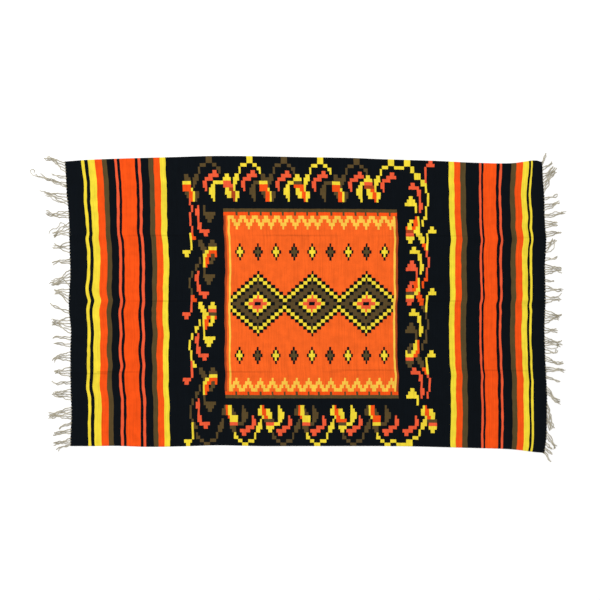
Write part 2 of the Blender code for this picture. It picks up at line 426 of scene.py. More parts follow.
class SmoothCurve:
    """A smooth curve through values at rising stations, level beyond its ends."""

    def __init__(self, stations: Sequence[float], values: Sequence[float]) -> None:
        """Work out the slope at each station from its two neighbours.

        Args:
            stations: Rising places.
            values: The curve's value at each station.
        """
        self.stations = np.asarray(stations, dtype=float)
        self.values = np.asarray(values, dtype=float)
        last = len(self.stations) - 1
        before = np.maximum(np.arange(last + 1) - 1, 0)
        after = np.minimum(np.arange(last + 1) + 1, last)
        run = self.stations[after] - self.stations[before]
        self.slopes = (self.values[after] - self.values[before]) / run

    def at(self, places: np.ndarray) -> np.ndarray:
        """Read the curve.

        Args:
            places: Where to read it.

        Returns:
            Its value at each place.
        """
        held = np.clip(places, self.stations[0], self.stations[-1])
        last_span = len(self.stations) - 2
        i = np.clip(np.searchsorted(self.stations, held, side="right") - 1, 0, last_span)
        span = self.stations[i + 1] - self.stations[i]
        t = (held - self.stations[i]) / span
        rise = t * t * (3.0 - 2.0 * t)
        leave = t * (1.0 - t) * (1.0 - t) * span * self.slopes[i]
        arrive = t * t * (t - 1.0) * span * self.slopes[i + 1]
        return self.values[i] + (self.values[i + 1] - self.values[i]) * rise + leave + arrive


def table_curve(rows: Sequence[tuple], station: str, value: str) -> SmoothCurve:
    """Make the curve of one column of a table over another.

    Args:
        rows: The table's rows.
        station: The column with the curve's stations.
        value: The column with its values.

    Returns:
        The curve.
    """
    stations = [getattr(row, station) for row in rows]
    return SmoothCurve(stations, [getattr(row, value) for row in rows])


def whole_width(stripes: Sequence[Stripe]) -> float:
    """Add up the widths of some stripes."""
    return sum(stripe.width for stripe in stripes)


def reached_lengths(line: np.ndarray) -> np.ndarray:
    """Measure the length of a line up to each of its points."""
    steps = np.linalg.norm(np.diff(line, axis=0), axis=1)
    return np.concatenate(((0.0,), np.cumsum(steps)))


def smoothstep(share: np.ndarray) -> np.ndarray:
    """Ease shares of 0 to 1 in and out, held level beyond."""
    held = np.clip(share, 0.0, 1.0)
    return held * held * (3.0 - 2.0 * held)


@dataclass(frozen=True)
class ClothShape:
    """How the straight cloth lies: its wandering edges and stripes, and its fold lines.

    A place on the straight cloth is x along the warp and y across it, from its middle.
    """

    length: float = 1896.0
    width: float = 1160.0
    wall: float = 2.5
    sway_fade: float = 3.0
    swell: float = 0.5
    swell_along: float = 210.0
    swell_across: float = 140.0
    swell_starts: tuple[float, float] = (1.1, 0.4)

    def across_shift(self, x: np.ndarray, y: np.ndarray) -> np.ndarray:
        """Shift in Y: whole at the nearer selvage, and none at the mid line.

        Args:
            x: Places along the warp.
            y: Places across it.

        Returns:
            The shift at each place.
        """
        upper = table_curve(SELVAGES, "x", "upper").at(x)
        lower = table_curve(SELVAGES, "x", "lower").at(x)
        out = np.abs(y) * 2.0 / self.width
        return np.where(y > 0.0, upper, lower) * out ** self.sway_fade

    def guides(self) -> tuple[list[float], list[SmoothCurve]]:
        """The lines that wander along X: both ends and three stripes beside each.

        Returns:
            Each line's place on the straight cloth, and its curve of shifts over Y.
        """
        half = self.length / 2.0
        lines = (
            (-half, END_SHIFTS, "left"),
            (-half + OUTER_STRIPES_FROM_END, LEFT_WANDER, "outer"),
            (-half + LEFT_MIDDLE_FROM_END, LEFT_WANDER, "middle"),
            (-half + whole_width(LEFT_STRIPES), LEFT_WANDER, "inner"),
            (half - whole_width(RIGHT_STRIPES), RIGHT_WANDER, "inner"),
            (half - RIGHT_MIDDLE_FROM_END, RIGHT_WANDER, "middle"),
            (half - OUTER_STRIPES_FROM_END, RIGHT_WANDER, "outer"),
            (half, END_SHIFTS, "right"),
        )
        places = [place for place, _, _ in lines]
        curves = [table_curve(rows, "y", column) for _, rows, column in lines]
        return places, curves

    def along_shift(self, x: np.ndarray, y: np.ndarray) -> np.ndarray:
        """Shift in X, straight from each wandering line to the next.

        Args:
            x: Places along the warp.
            y: Places across it, as many as x.

        Returns:
            The shift at each place.
        """
        places, curves = self.guides()
        shifts = np.array([curve.at(y) for curve in curves])
        shift = shifts[0].copy()
        for k in range(1, len(places)):
            share = np.clip((x - places[k - 1]) / (places[k] - places[k - 1]), 0.0, 1.0)
            shift += (shifts[k] - shifts[k - 1]) * share
        return shift

    def lift(self, x: np.ndarray, y: np.ndarray) -> np.ndarray:
        """Height of the underside above the floor: the fold lines and a low swell.

        Args:
            x: Places along the warp.
            y: Places across it.

        Returns:
            The height at each place.
        """
        half = self.length / 2.0
        height = np.zeros_like(x)
        for crease in CREASES:
            middle = crease.middle(x / self.length + 0.5)
            away = np.clip((y - middle) / crease.half_width, -1.0, 1.0)
            highs = (crease.high_left, crease.high_middle, crease.high_right)
            high = SmoothCurve((-half, 0.0, half), highs).at(x)
            height += high * 0.5 * (1.0 + np.cos(math.pi * away))
        start_x, start_y = self.swell_starts
        along = np.sin(x / self.swell_along + start_x)
        across = np.sin(y / self.swell_across + start_y + along)
        return height + self.swell * 0.5 * (1.0 + along * across)

    def lay(self, x: np.ndarray, y: np.ndarray) -> np.ndarray:
        """Lay places of the straight cloth on the floor, as its underside.

        Args:
            x: Places along the warp.
            y: Places across it, as many as x.

        Returns:
            An array of points, one row each.
        """
        return np.stack(
            (x + self.along_shift(x, y), y + self.across_shift(x, y), self.lift(x, y)), axis=-1
        )

    def end_line(self, end: End, count: int = 581) -> np.ndarray:
        """Points along one end of the cloth, from the lower selvage up.

        Args:
            end: Which end.
            count: How many points.

        Returns:
            An array of points, one row each.
        """
        y = np.linspace(-self.width / 2.0, self.width / 2.0, count)
        x = np.full_like(y, end.value * self.length / 2.0)
        return self.lay(x, y)

    def frame_shift(self) -> np.ndarray:
        """Where the straight cloth's middle lies in the frame, from the CAD cloth's corner.

        Returns:
            The shift in millimetres, with none in Z.
        """
        corner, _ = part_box("blanket_cloth")
        lowest_x = -self.length / 2.0 + min(row.left for row in END_SHIFTS)
        lowest_y = -self.width / 2.0 + min(row.lower for row in SELVAGES)
        return np.array([corner.x / MM - lowest_x, corner.y / MM - lowest_y, 0.0])


@dataclass(frozen=True)
class Motif:
    """A small charted figure: rows of letters, one cell each, with dots left as they are."""

    rows: tuple[str, ...]
    column: int = 0
    row: int = 0


ARCH = Motif((
    ".......AAA....",
    ".......AAA....",
    "....AAA...AA..",
    "...A........AA",
    "...A.........A",
    ".AA...........",
    "AAA...........",
    "AA............",
    "A.............",
), column=-8)
ARCH_WITHOUT_TAIL = Motif(tuple(row[:10] for row in ARCH.rows), ARCH.column)
ARCH_WITHOUT_FOOT = Motif(
    ARCH.rows[:3] + tuple("." * 7 + row[7:] for row in ARCH.rows[3:]), ARCH.column
)
ARCH_LEAF = Motif((
    ".....cc.",
    "...ccccc",
    ".cccc...",
    "cc......",
    "cc......",
    ".c......",
), column=-4, row=4)
HANGING_LEAF = Motif((
    "..L",
    ".LL",
    "LLL",
    "LLL",
    ".LL",
    "..L",
), row=7)
DARK_BUD = Motif((
    ".kk.....",
    ".kkk....",
    "bbbb....",
    "hhhh....",
    "ooool...",
    ".eeoolss",
    "..eoolss",
    "...ools.",
), row=5)
BRIGHT_BUD = Motif((
    ".kk.....",
    "kkkk....",
    "bbbb....",
    "hhhhh...",
    ".eeool..",
    ".eeeooll",
    "..eeooll",
    ".....ol.",
), row=5)
SIDE_LEAF = Motif((
    "....v..c.....",
    "....v.cc.....",
    "...v..cc.....",
    "...v...c.....",
    "...v...cc....",
    "....v..cc....",
    "....v...ccccc",
    "....v.....cc.",
))
TALL_SIDE_LEAF = Motif(SIDE_LEAF.rows[:4] + SIDE_LEAF.rows[3:])
SIDE_TEE = Motif((
    "t.....",
    "t.....",
    "tttttt",
    ".tttt.",
    "..tt..",
), column=10, row=-2)
SIDE_STEM = Motif((
    "....gf.",
    "....gff",
    "....g..",
    "....g..",
    "....g..",
    "gggg...",
    ".gg....",
), row=-2)
SIDE_BUD = Motif((
    "..ww....kk.",
    "..www..kkkk",
    "...www.bbbb",
    "....wllhhhh",
    "....llooeeo",
    "..w.loo.ee.",
    "..w.looee..",
    "ww..lo.....",
    "w..........",
), column=6)
ZIGZAG_TIP = Motif((
    "..d..",
    ".....",
    "zz.zz",
    ".zzz.",
    "..z..",
), column=-2, row=1)
LOWER_ZIGZAG_TIP = Motif(ZIGZAG_TIP.rows[::-1], column=-2, row=-5)
SMALL_DIAMOND = Motif((
    "..k..",
    ".kyk.",
    "kyyyk",
    ".kyk.",
    "..k..",
), column=-2, row=-2)


class BudWools(NamedTuple):
    """The wools of a bud: cap, band, throat, body, heart, outline and side leaf."""

    k: Wool
    b: Wool
    h: Wool
    o: Wool
    e: Wool
    l: Wool
    s: Wool = Wool.OLIVE


OLIVE_CAP = BudWools(
    Wool.OLIVE, Wool.YELLOW, Wool.ORANGE, Wool.ORANGE, Wool.OLIVE, Wool.YELLOW
)
OLIVE_CORAL = BudWools(
    Wool.OLIVE, Wool.EMBER, Wool.YELLOW, Wool.YELLOW, Wool.OLIVE, Wool.ORANGE
)
YELLOW_CORAL = BudWools(
    Wool.YELLOW, Wool.EMBER, Wool.EMBER, Wool.RUST, Wool.YELLOW, Wool.YELLOW
)
YELLOW_CORAL_OLIVE = BudWools(
    Wool.YELLOW, Wool.EMBER, Wool.OLIVE, Wool.ORANGE, Wool.YELLOW, Wool.YELLOW
)
YELLOW_OLIVE = BudWools(
    Wool.YELLOW, Wool.OLIVE, Wool.ORANGE, Wool.ORANGE, Wool.YELLOW, Wool.YELLOW
)
YELLOW_RUST = BudWools(
    Wool.YELLOW, Wool.EMBER, Wool.RUST, Wool.ORANGE, Wool.YELLOW, Wool.YELLOW
)
CORAL_CAP = BudWools(
    Wool.EMBER, Wool.YELLOW, Wool.OLIVE, Wool.ORANGE, Wool.EMBER, Wool.YELLOW
)


class BorderUnit(NamedTuple):
    """One arch of the upper or lower border, with the columns of what goes with it."""

    arch: int
    arch_wool: Wool
    leaf: int
    hanging: int
    bud: int
    bud_wools: BudWools


UPPER_UNITS = (
    BorderUnit(21, Wool.OLIVE, 22, 21, 28, YELLOW_CORAL),
    BorderUnit(41, Wool.YELLOW, 41, 41, 46, OLIVE_CAP),
    BorderUnit(58, Wool.OLIVE, 58, 58, 63, YELLOW_OLIVE),
    BorderUnit(76, Wool.YELLOW, 76, 76, 82, OLIVE_CAP),
    BorderUnit(94, Wool.OLIVE, 94, 94, 98, YELLOW_RUST),
)
LOWER_UNITS = (
    BorderUnit(37, Wool.YELLOW, 38, 38, 33, OLIVE_CORAL),
    BorderUnit(56, Wool.OLIVE, 56, 56, 51, YELLOW_CORAL_OLIVE),
    BorderUnit(73, Wool.YELLOW, 73, 73, 69, OLIVE_CORAL),
    BorderUnit(91, Wool.OLIVE, 91, 92, 87, YELLOW_OLIVE),
    BorderUnit(108, Wool.YELLOW, 109, 109, 104, OLIVE_CAP),
)


class SideUnit(NamedTuple):
    """One length of a side vine: where its leaf, tee and bud start, and their wools.

    Its leaf and tee may lie some columns further in.
    """

    leaf_row: int
    tee_row: int
    bud_row: int
    vine: Wool
    leaf: Wool
    tee: Wool
    stem: Wool
    fork: Wool | None
    branch: Wool | None = None
    bud_wools: BudWools | None = None
    inwards: int = 0


LEFT_UNITS = (
    SideUnit(14, 16, 24, Wool.EMBER, Wool.EMBER, Wool.OLIVE, Wool.YELLOW, Wool.ORANGE,
             Wool.OLIVE, OLIVE_CAP, inwards=1),
    SideUnit(33, 34, 42, Wool.OLIVE, Wool.EMBER, Wool.OLIVE, Wool.EMBER, Wool.ORANGE,
             Wool.YELLOW, YELLOW_CORAL_OLIVE),
    SideUnit(51, 52, 61, Wool.YELLOW, Wool.EMBER, Wool.YELLOW, Wool.EMBER, Wool.YELLOW,
             Wool.OLIVE, OLIVE_CAP),
    SideUnit(70, 71, 79, Wool.OLIVE, Wool.EMBER, Wool.OLIVE, Wool.YELLOW, Wool.OLIVE),
)
RIGHT_UNITS = (
    SideUnit(15, 15, 24, Wool.EMBER, Wool.EMBER, Wool.YELLOW, Wool.YELLOW, Wool.ORANGE,
             Wool.OLIVE, OLIVE_CORAL),
    SideUnit(33, 34, 42, Wool.OLIVE, Wool.YELLOW, Wool.OLIVE, Wool.YELLOW, Wool.OLIVE,
             Wool.ORANGE, CORAL_CAP),
    SideUnit(51, 52, 60, Wool.EMBER, Wool.YELLOW, Wool.EMBER, Wool.YELLOW, Wool.ORANGE,
             Wool.YELLOW, YELLOW_RUST),
    SideUnit(69, 71, 80, Wool.YELLOW, Wool.EMBER, Wool.YELLOW, Wool.EMBER, None),
)


@dataclass
class Chart:
    """The weaver's chart of the middle field: one wool for each stepped cell.

    Row 0 is at the upper selvage and column 0 at the field's left edge.
    """

    columns: int = 140
    rows: int = 84
    first_bud: int = 8
    last_bud: int = 132
    left_side: int = 7
    right_side: int = 132
    first_lower_arch: int = 18
    last_upper_arch: int = 111
    last_lower_arch: int = 119
    link_columns: tuple[int, int] = (113, 118)
    link_row: int = 2
    dot_column: int = 11
    dot_rows: tuple[int, int] = (12, 13)
    stem_steps: int = 4
    step_columns: float = 2.6
    panel_columns: tuple[int, int] = (28, 113)
    panel_rows: tuple[int, int] = (15, 69)
    upper_ticks: tuple[int, ...] = (34, 40, 46, 51, 57, 63, 69, 74, 81, 87, 93, 98, 104, 110)
    lower_ticks: tuple[int, ...] = (33, 39, 45, 51, 57, 63, 69, 74, 80, 87, 93, 99, 104, 110)
    lozenge_pitch: int = 27
    lozenge_bands: tuple[tuple[int, Wool], ...] = (
        (18, Wool.BLACK),
        (16, Wool.YELLOW),
        (14, Wool.BLACK),
        (12, Wool.OLIVE),
        (8, Wool.BLACK),
        (6, Wool.YELLOW),
        (4, Wool.EMBER),
        (1, Wool.BLACK),
    )
    diamonds_each_way: int = 4
    diamond_pitch: int = 9
    diamond_row: int = 15
    cells: list[list[Wool]] = field(init=False)

    def __post_init__(self) -> None:
        """Start with black ground everywhere and draw the pattern on it."""
        self.cells = [[Wool.BLACK] * self.columns for _ in range(self.rows)]
        self.draw_border(UPPER_UNITS, turned=False)
        self.draw_border(LOWER_UNITS, turned=True)
        self.draw_corners()
        self.draw_side(LEFT_UNITS, turned=False)
        self.draw_side(RIGHT_UNITS, turned=True)
        self.draw_panel()
        self.draw_centre()

    def fill(self, columns: Sequence[int], rows: Sequence[int], wool: Wool) -> None:
        """Set the cells where columns and rows cross, as far as they lie on the field."""
        for row in rows:
            for column in columns:
                if 0 <= column < self.columns and 0 <= row < self.rows:
                    self.cells[row][column] = wool

    def stamp(
        self, motif: Motif, column: int, row: int, wools: dict[str, Wool], turned: bool = False
    ) -> None:
        """Draw a motif, straight or turned half round.

        Args:
            motif: The figure.
            column: The field column of the figure's own column 0.
            row: The field row of the figure's own row 0.
            wools: The wool of each letter.
            turned: True to turn it half round about that cell.
        """
        way = -1 if turned else 1
        for down, letters in enumerate(motif.rows):
            for right, letter in enumerate(letters):
                if letter in wools:
                    c = column + way * (motif.column + right)
                    r = row + way * (motif.row + down)
                    self.fill((c,), (r,), wools[letter])

    def draw_border(self, units: Sequence[BorderUnit], turned: bool) -> None:
        """Draw the arches, leaves and buds of the upper border, or of the lower one.

        Args:
            units: The border's units from the left.
            turned: True for the lower border, whose figures are turned half round.
        """
        row = self.rows if turned else 0
        way = -1 if turned else 1
        for unit in units:
            dark = unit.arch_wool is Wool.YELLOW
            hanging = Wool.OLIVE if dark else Wool.YELLOW
            self.stamp(HANGING_LEAF, unit.hanging, row, {"L": hanging}, turned)
            beside = unit.hanging + len(HANGING_LEAF.rows[0]) * way
            stalk = range(beside, unit.bud, way)
            self.fill(stalk, (row + HANGING_LEAF.row * way,), hanging)
            bud = DARK_BUD if dark else BRIGHT_BUD
            self.stamp(bud, unit.bud, row, unit.bud_wools._asdict(), turned)
            footless = turned and unit is units[-1]
            arch = ARCH_WITHOUT_FOOT if footless else ARCH
            self.stamp(arch, unit.arch, row, {"A": unit.arch_wool}, turned)
            self.stamp(ARCH_LEAF, unit.leaf, row, {"c": Wool.EMBER}, turned)

    def draw_corners(self) -> None:
        """Draw the last arch of each border, the stem that joins it, and the corner buds."""
        yellow = {"A": Wool.YELLOW}
        coral = {"c": Wool.EMBER}
        self.stamp(DARK_BUD, self.first_bud, 0, OLIVE_CAP._asdict())
        self.fill((self.dot_column,), self.dot_rows, Wool.EMBER)
        self.stamp(ARCH_WITHOUT_TAIL, self.last_upper_arch, 0, yellow)
        self.stamp(ARCH_LEAF, self.last_upper_arch - 1, 0, coral)
        link_start, link_stop = self.link_columns
        self.fill(range(link_start, link_stop), (self.link_row, self.rows - 1), Wool.YELLOW)
        self.draw_steps(link_stop, 0, self.stem_steps, Wool.YELLOW)
        self.stamp(ARCH, self.first_lower_arch, self.rows, {"A": Wool.OLIVE}, turned=True)
        last_arch = self.last_lower_arch
        self.stamp(ARCH_WITHOUT_TAIL, last_arch, self.rows - 1, yellow, turned=True)
        self.stamp(ARCH_LEAF, last_arch, self.rows, coral, turned=True)
        self.stamp(
            BRIGHT_BUD, self.last_bud, self.rows, YELLOW_CORAL_OLIVE._asdict(), turned=True
        )

    def draw_steps(self, column: int, row: int, steps: int, wool: Wool) -> None:
        """Draw a stem that goes down to the right in even steps, each two rows high.

        Args:
            column: Its first column.
            row: Its first row.
            steps: How many steps.
            wool: Its wool.
        """
        starts = [column + int(self.step_columns * k + 0.5) for k in range(steps + 1)]
        for k, (start, stop) in enumerate(zip(starts, starts[1:])):
            self.fill(range(start, stop), (row + 2 * k, row + 2 * k + 1), wool)

    def draw_side(self, units: Sequence[SideUnit], turned: bool) -> None:
        """Draw the left vine of leaves and buds, or the right one.

        Args:
            units: The vine's units in its own order.
            turned: True for the right vine, whose figures are turned half round.
        """
        column = self.right_side if turned else self.left_side
        tee_column = column + 1 if turned else column
        bud_column = column + 2 if turned else column
        for unit in units:
            tall = unit in (units[0], units[-1])
            leaf = TALL_SIDE_LEAF if tall else SIDE_LEAF
            wools = {"v": unit.vine, "c": unit.leaf, "t": unit.tee, "g": unit.stem}
            if unit.fork:
                wools["f"] = unit.fork
            figures = [
                (leaf, column + unit.inwards, unit.leaf_row, wools),
                (SIDE_TEE, tee_column + unit.inwards, unit.tee_row, wools),
                (SIDE_STEM, column, unit.bud_row, wools),
            ]
            if unit.bud_wools and unit.branch:
                bud = unit.bud_wools._asdict() | {"w": unit.branch}
                figures.append((SIDE_BUD, bud_column, unit.bud_row, bud))
            for figure, place, row, dyes in figures:
                self.stamp(figure, place, self.rows - row if turned else row, dyes, turned)

    def draw_panel(self) -> None:
        """Draw the orange panel with its rails, ticks and zigzag bands."""
        first, last = self.panel_columns
        top, bottom = self.panel_rows
        columns = range(first, last + 1)
        rows = range(top, bottom + 1)
        self.fill(columns, rows, Wool.PANEL)
        self.fill((first, last), rows, Wool.RUST)
        self.fill((first + 2, last - 1), rows, Wool.GOLD)
        wools = {"d": Wool.OLIVE, "z": Wool.GOLD}
        for edge, way, ticks, tip in (
            (top, 1, self.upper_ticks, ZIGZAG_TIP),
            (bottom, -1, self.lower_ticks, LOWER_ZIGZAG_TIP),
        ):
            self.fill(columns, (edge,), Wool.OLIVE)
            self.fill(columns, (edge + way,), Wool.ORANGE)
            corners = (first + 1, *ticks, last + 1)
            for before, after in zip(corners, corners[1:]):
                self.fill(range(before + 2, after - 1), (edge + 2 * way,), Wool.GOLD)
            for tick in ticks:
                self.stamp(tip, tick, edge, wools)

    def draw_centre(self) -> None:
        """Draw the panel's middle: a chain of three lozenges between two rows of diamonds."""
        first, last = self.panel_columns
        middle_column = (first + last) // 2 + 1
        middle_row = sum(self.panel_rows) // 2
        centres = [middle_column + self.lozenge_pitch * k for k in (-1, 0, 1)]
        for row in range(self.rows):
            down = 2 * abs(row - middle_row)
            for column in range(first + 3, last - 1):
                away = down + min(abs(column - centre) for centre in centres)
                for reach, wool in self.lozenge_bands:
                    if away <= reach:
                        self.fill((column,), (row,), wool)
        for k in range(-self.diamonds_each_way, self.diamonds_each_way + 1):
            wools = {"k": Wool.BLACK, "y": Wool.OLIVE if k % 2 else Wool.YELLOW}
            column = middle_column + self.diamond_pitch * k
            for down in (-self.diamond_row, self.diamond_row):
                self.stamp(SMALL_DIAMOND, column, middle_row + down, wools)


@dataclass(frozen=True)
class TapestryWool:
    """Weft-faced wool tapestry: dyed wool beaten down over a hidden cotton warp.

    Packed picks make ribs along the warp, and each pick shows as a small bead on a rib,
    so the eye sees a matt, softly napped, slightly streaked cloth.
    """

    name: str = "weft_faced_wool_tapestry"
    rib_pitch: float = 4.6
    bead_pitch: float = 3.0  # real picks are about 1.5 mm apart, drawn coarser to show
    relief: float = 0.55
    bump_strength: float = 0.8
    crown_power: float = 0.6
    bead_stagger: float = 0.5
    bead_depth: float = 0.4
    streak_size: tuple[float, float] = (5.0, 160.0)
    streak_depth: float = 0.10
    mottle_size: float = 34.0
    mottle_depth: float = 0.08
    noise_range: tuple[float, float] = (0.25, 0.75)
    nap_size: float = 1.6
    nap_height: float = 0.25
    # Painted shade in the rib valleys and a painted highlight on the rib crowns, multiplied into
    # the base colour.
    valley_shade: float = 0.16
    crown_light: float = 0.048
    roughness: float = 0.92
    gloss: float = 0.06
    sheen: float = 0.02
    sheen_roughness: float = 0.5

    def material(self) -> bpy.types.Material:
        """Build the material, coloured by the mesh's "wool" attribute.

        Returns:
            The finished material.
        """
        material, tree, shader = new_material(self.name, {
            "Roughness": self.roughness,
            "Specular IOR Level": self.gloss,
            "Sheen Weight": self.sheen,
            "Sheen Roughness": self.sheen_roughness,
        })
        dye = add_node(tree, "ShaderNodeAttribute", {"attribute_name": "wool"})
        place = add_node(tree, "ShaderNodeUVMap", {"uv_map": "Weave"})
        along, across = self.streak_size
        streak_place = add_node(
            tree, "ShaderNodeMapping",
            values={"Scale": (1.0 / along, 1.0 / across, 1.0)},
            links={"Vector": place.outputs["UV"]},
        )
        streaks, mottle, nap = [
            add_node(
                tree, "ShaderNodeTexNoise", {"noise_dimensions": "2D"},
                {"Scale": 1.0 / size, "Detail": detail}, {"Vector": vector},
            )
            for vector, size, detail in (
                (streak_place.outputs["Vector"], 1.0, 2.0),
                (place.outputs["UV"], self.mottle_size, 3.0),
                (place.outputs["UV"], self.nap_size, 2.0),
            )
        ]
        relief = self.rib_relief(tree, place)
        # Painted shade darkens the base colour in the rib valleys, and a painted highlight lightens
        # it on the crowns.
        valley = add_node(
            tree, "ShaderNodeMapRange",
            values={"To Min": 1.0 - self.valley_shade, "To Max": 1.0 + self.crown_light},
            links={"Value": relief.outputs["Value"]},
        )
        shade = valley.outputs["Result"]
        least, most = self.noise_range
        for noise, depth in ((streaks, self.streak_depth), (mottle, self.mottle_depth)):
            spread = add_node(
                tree, "ShaderNodeMapRange",
                values={"From Min": least, "From Max": most,
                        "To Min": 1.0 - depth, "To Max": 1.0 + depth},
                links={"Value": noise.outputs["Fac"]},
            )
            product = add_node(
                tree, "ShaderNodeMath", {"operation": "MULTIPLY"},
                links={0: shade, 1: spread.outputs["Result"]},
            )
            shade = product.outputs["Value"]
        coloured = add_node(
            tree, "ShaderNodeVectorMath", {"operation": "SCALE"},
            links={0: dye.outputs["Color"], "Scale": shade},
        )
        height = add_node(
            tree, "ShaderNodeMath", {"operation": "MULTIPLY_ADD"}, {1: self.nap_height},
            {0: nap.outputs["Fac"], 2: relief.outputs["Value"]},
        )
        bump = add_node(
            tree, "ShaderNodeBump",
            values={"Strength": self.bump_strength, "Distance": self.relief * MM},
            links={"Height": height.outputs["Value"]},
        )
        tree.links.new(coloured.outputs["Vector"], shader.inputs["Base Color"])
        tree.links.new(bump.outputs["Normal"], shader.inputs["Normal"])
        return material

    def rib_relief(self, tree: bpy.types.NodeTree, place: bpy.types.Node) -> bpy.types.Node:
        """Height of the ribs and their beads, from 0 in the valleys to 1 on the crowns.

        Args:
            tree: The material's node tree.
            place: The node that gives places on the cloth in millimetres.

        Returns:
            The node whose Value is the height.
        """
        parts = add_node(tree, "ShaderNodeSeparateXYZ", links={"Vector": place.outputs["UV"]})
        lane, bead = [
            add_node(
                tree, "ShaderNodeMath", {"operation": "DIVIDE"}, {1: pitch},
                {0: parts.outputs[axis]},
            )
            for axis, pitch in (("Y", self.rib_pitch), ("X", self.bead_pitch))
        ]
        rib_height = add_node(
            tree, "ShaderNodeMath", {"operation": "POWER"}, {1: self.crown_power},
            {0: self.crowns(tree, lane.outputs["Value"])},
        )
        lane_number = add_node(
            tree, "ShaderNodeMath", {"operation": "FLOOR"}, links={0: lane.outputs["Value"]}
        )
        staggered = add_node(
            tree, "ShaderNodeMath", {"operation": "MULTIPLY_ADD"}, {1: self.bead_stagger},
            {0: lane_number.outputs["Value"], 2: bead.outputs["Value"]},
        )
        bead_height = add_node(
            tree, "ShaderNodeMath", {"operation": "MULTIPLY_ADD"},
            {1: self.bead_depth, 2: 1.0 - self.bead_depth},
            {0: self.crowns(tree, staggered.outputs["Value"])},
        )
        return add_node(
            tree, "ShaderNodeMath", {"operation": "MULTIPLY"},
            links={0: rib_height.outputs["Value"], 1: bead_height.outputs["Value"]},
        )

    @staticmethod
    def crowns(tree: bpy.types.NodeTree, socket: bpy.types.NodeSocket) -> bpy.types.NodeSocket:
        """Turn a running number into round crowns, one from each whole number to the next.

        Args:
            tree: The material's node tree.
            socket: The output that gives the running number.

        Returns:
            The output that gives the crowns' height, from 0 to 1.
        """
        for operation, values in (("MULTIPLY", {1: math.pi}), ("SINE", {}), ("ABSOLUTE", {})):
            step = add_node(
                tree, "ShaderNodeMath", {"operation": operation}, values, {0: socket}
            )
            socket = step.outputs["Value"]
        return socket


@dataclass(frozen=True)
class CottonWarp:
    """Undyed spun cotton warp: a matt, off-white plied yarn, a little grey from handling."""

    name: str = "undyed_cotton_warp_yarn"
    pale: str = "#C6BFAC"
    soiled: str = "#98907A"
    patch_size: float = 26.0
    patch_range: tuple[float, float] = (0.35, 0.65)
    twist_pitch: float = 3.4
    # Painted shade in the twist's grooves and a painted highlight on the plies' crowns, multiplied
    # into the base colour.
    twist_shade: tuple[float, float] = (0.86, 1.04)
    relief: float = 0.25
    bump_strength: float = 0.7
    roughness: float = 0.9
    gloss: float = 0.3

    def material(self) -> bpy.types.Material:
        """Build the material, with its twist on the mesh's "Strand" map.

        Returns:
            The finished material.
        """
        material, tree, shader = new_material(
            self.name, {"Roughness": self.roughness, "Specular IOR Level": self.gloss}
        )
        place = add_node(tree, "ShaderNodeTexCoord")
        patches = add_node(
            tree, "ShaderNodeTexNoise",
            values={"Scale": 1.0 / (self.patch_size * MM), "Detail": 3.0},
            links={"Vector": place.outputs["Object"]},
        )
        least, most = self.patch_range
        spread = add_node(
            tree, "ShaderNodeMapRange", values={"From Min": least, "From Max": most},
            links={"Value": patches.outputs["Fac"]},
        )
        strand = add_node(tree, "ShaderNodeUVMap", {"uv_map": "Strand"})
        parts = add_node(tree, "ShaderNodeSeparateXYZ", links={"Vector": strand.outputs["UV"]})
        along = add_node(
            tree, "ShaderNodeMath", {"operation": "MULTIPLY_ADD"}, {1: 1.0 / self.twist_pitch},
            {0: parts.outputs["X"], 2: parts.outputs["Y"]},
        )
        turn = add_node(
            tree, "ShaderNodeMath", {"operation": "MULTIPLY"}, {1: 2.0 * math.pi},
            {0: along.outputs["Value"]},
        )
        twist = add_node(
            tree, "ShaderNodeMath", {"operation": "SINE"}, links={0: turn.outputs["Value"]}
        )
        dark, light = self.twist_shade
        # Painted shade darkens the twist's grooves, and a painted highlight lightens the plies'
        # crowns, in step with the bump.
        painted_groove_shade = add_node(
            tree, "ShaderNodeMapRange",
            values={"From Min": -1.0, "From Max": 1.0, "To Min": dark, "To Max": light},
            links={"Value": twist.outputs["Value"]},
        )
        colour = add_node(
            tree, "ShaderNodeMix", {"data_type": "RGBA"},
            {6: linear(self.soiled), 7: linear(self.pale)},
            {"Factor": spread.outputs["Result"]},
        )
        shaded = add_node(
            tree, "ShaderNodeVectorMath", {"operation": "SCALE"},
            links={0: colour.outputs[2], "Scale": painted_groove_shade.outputs["Result"]},
        )
        bump = add_node(
            tree, "ShaderNodeBump",
            values={"Strength": self.bump_strength, "Distance": self.relief * MM},
            links={"Height": twist.outputs["Value"]},
        )
        tree.links.new(shaded.outputs["Vector"], shader.inputs["Base Color"])
        tree.links.new(bump.outputs["Normal"], shader.inputs["Normal"])
        return material


@dataclass(frozen=True)
class StudioPaper:
    """Smooth matt background paper, rolled out under the blanket."""

    name: str = "matt_background_paper"
    colour: str = "#FAFAFA"
    roughness: float = 0.95
    gloss: float = 0.2

    def material(self) -> bpy.types.Material:
        """Build the plain matt material."""
        material, _, _ = new_material(self.name, {
            "Base Color": linear(self.colour),
            "Roughness": self.roughness,
            "Specular IOR Level": self.gloss,
        })
        return material


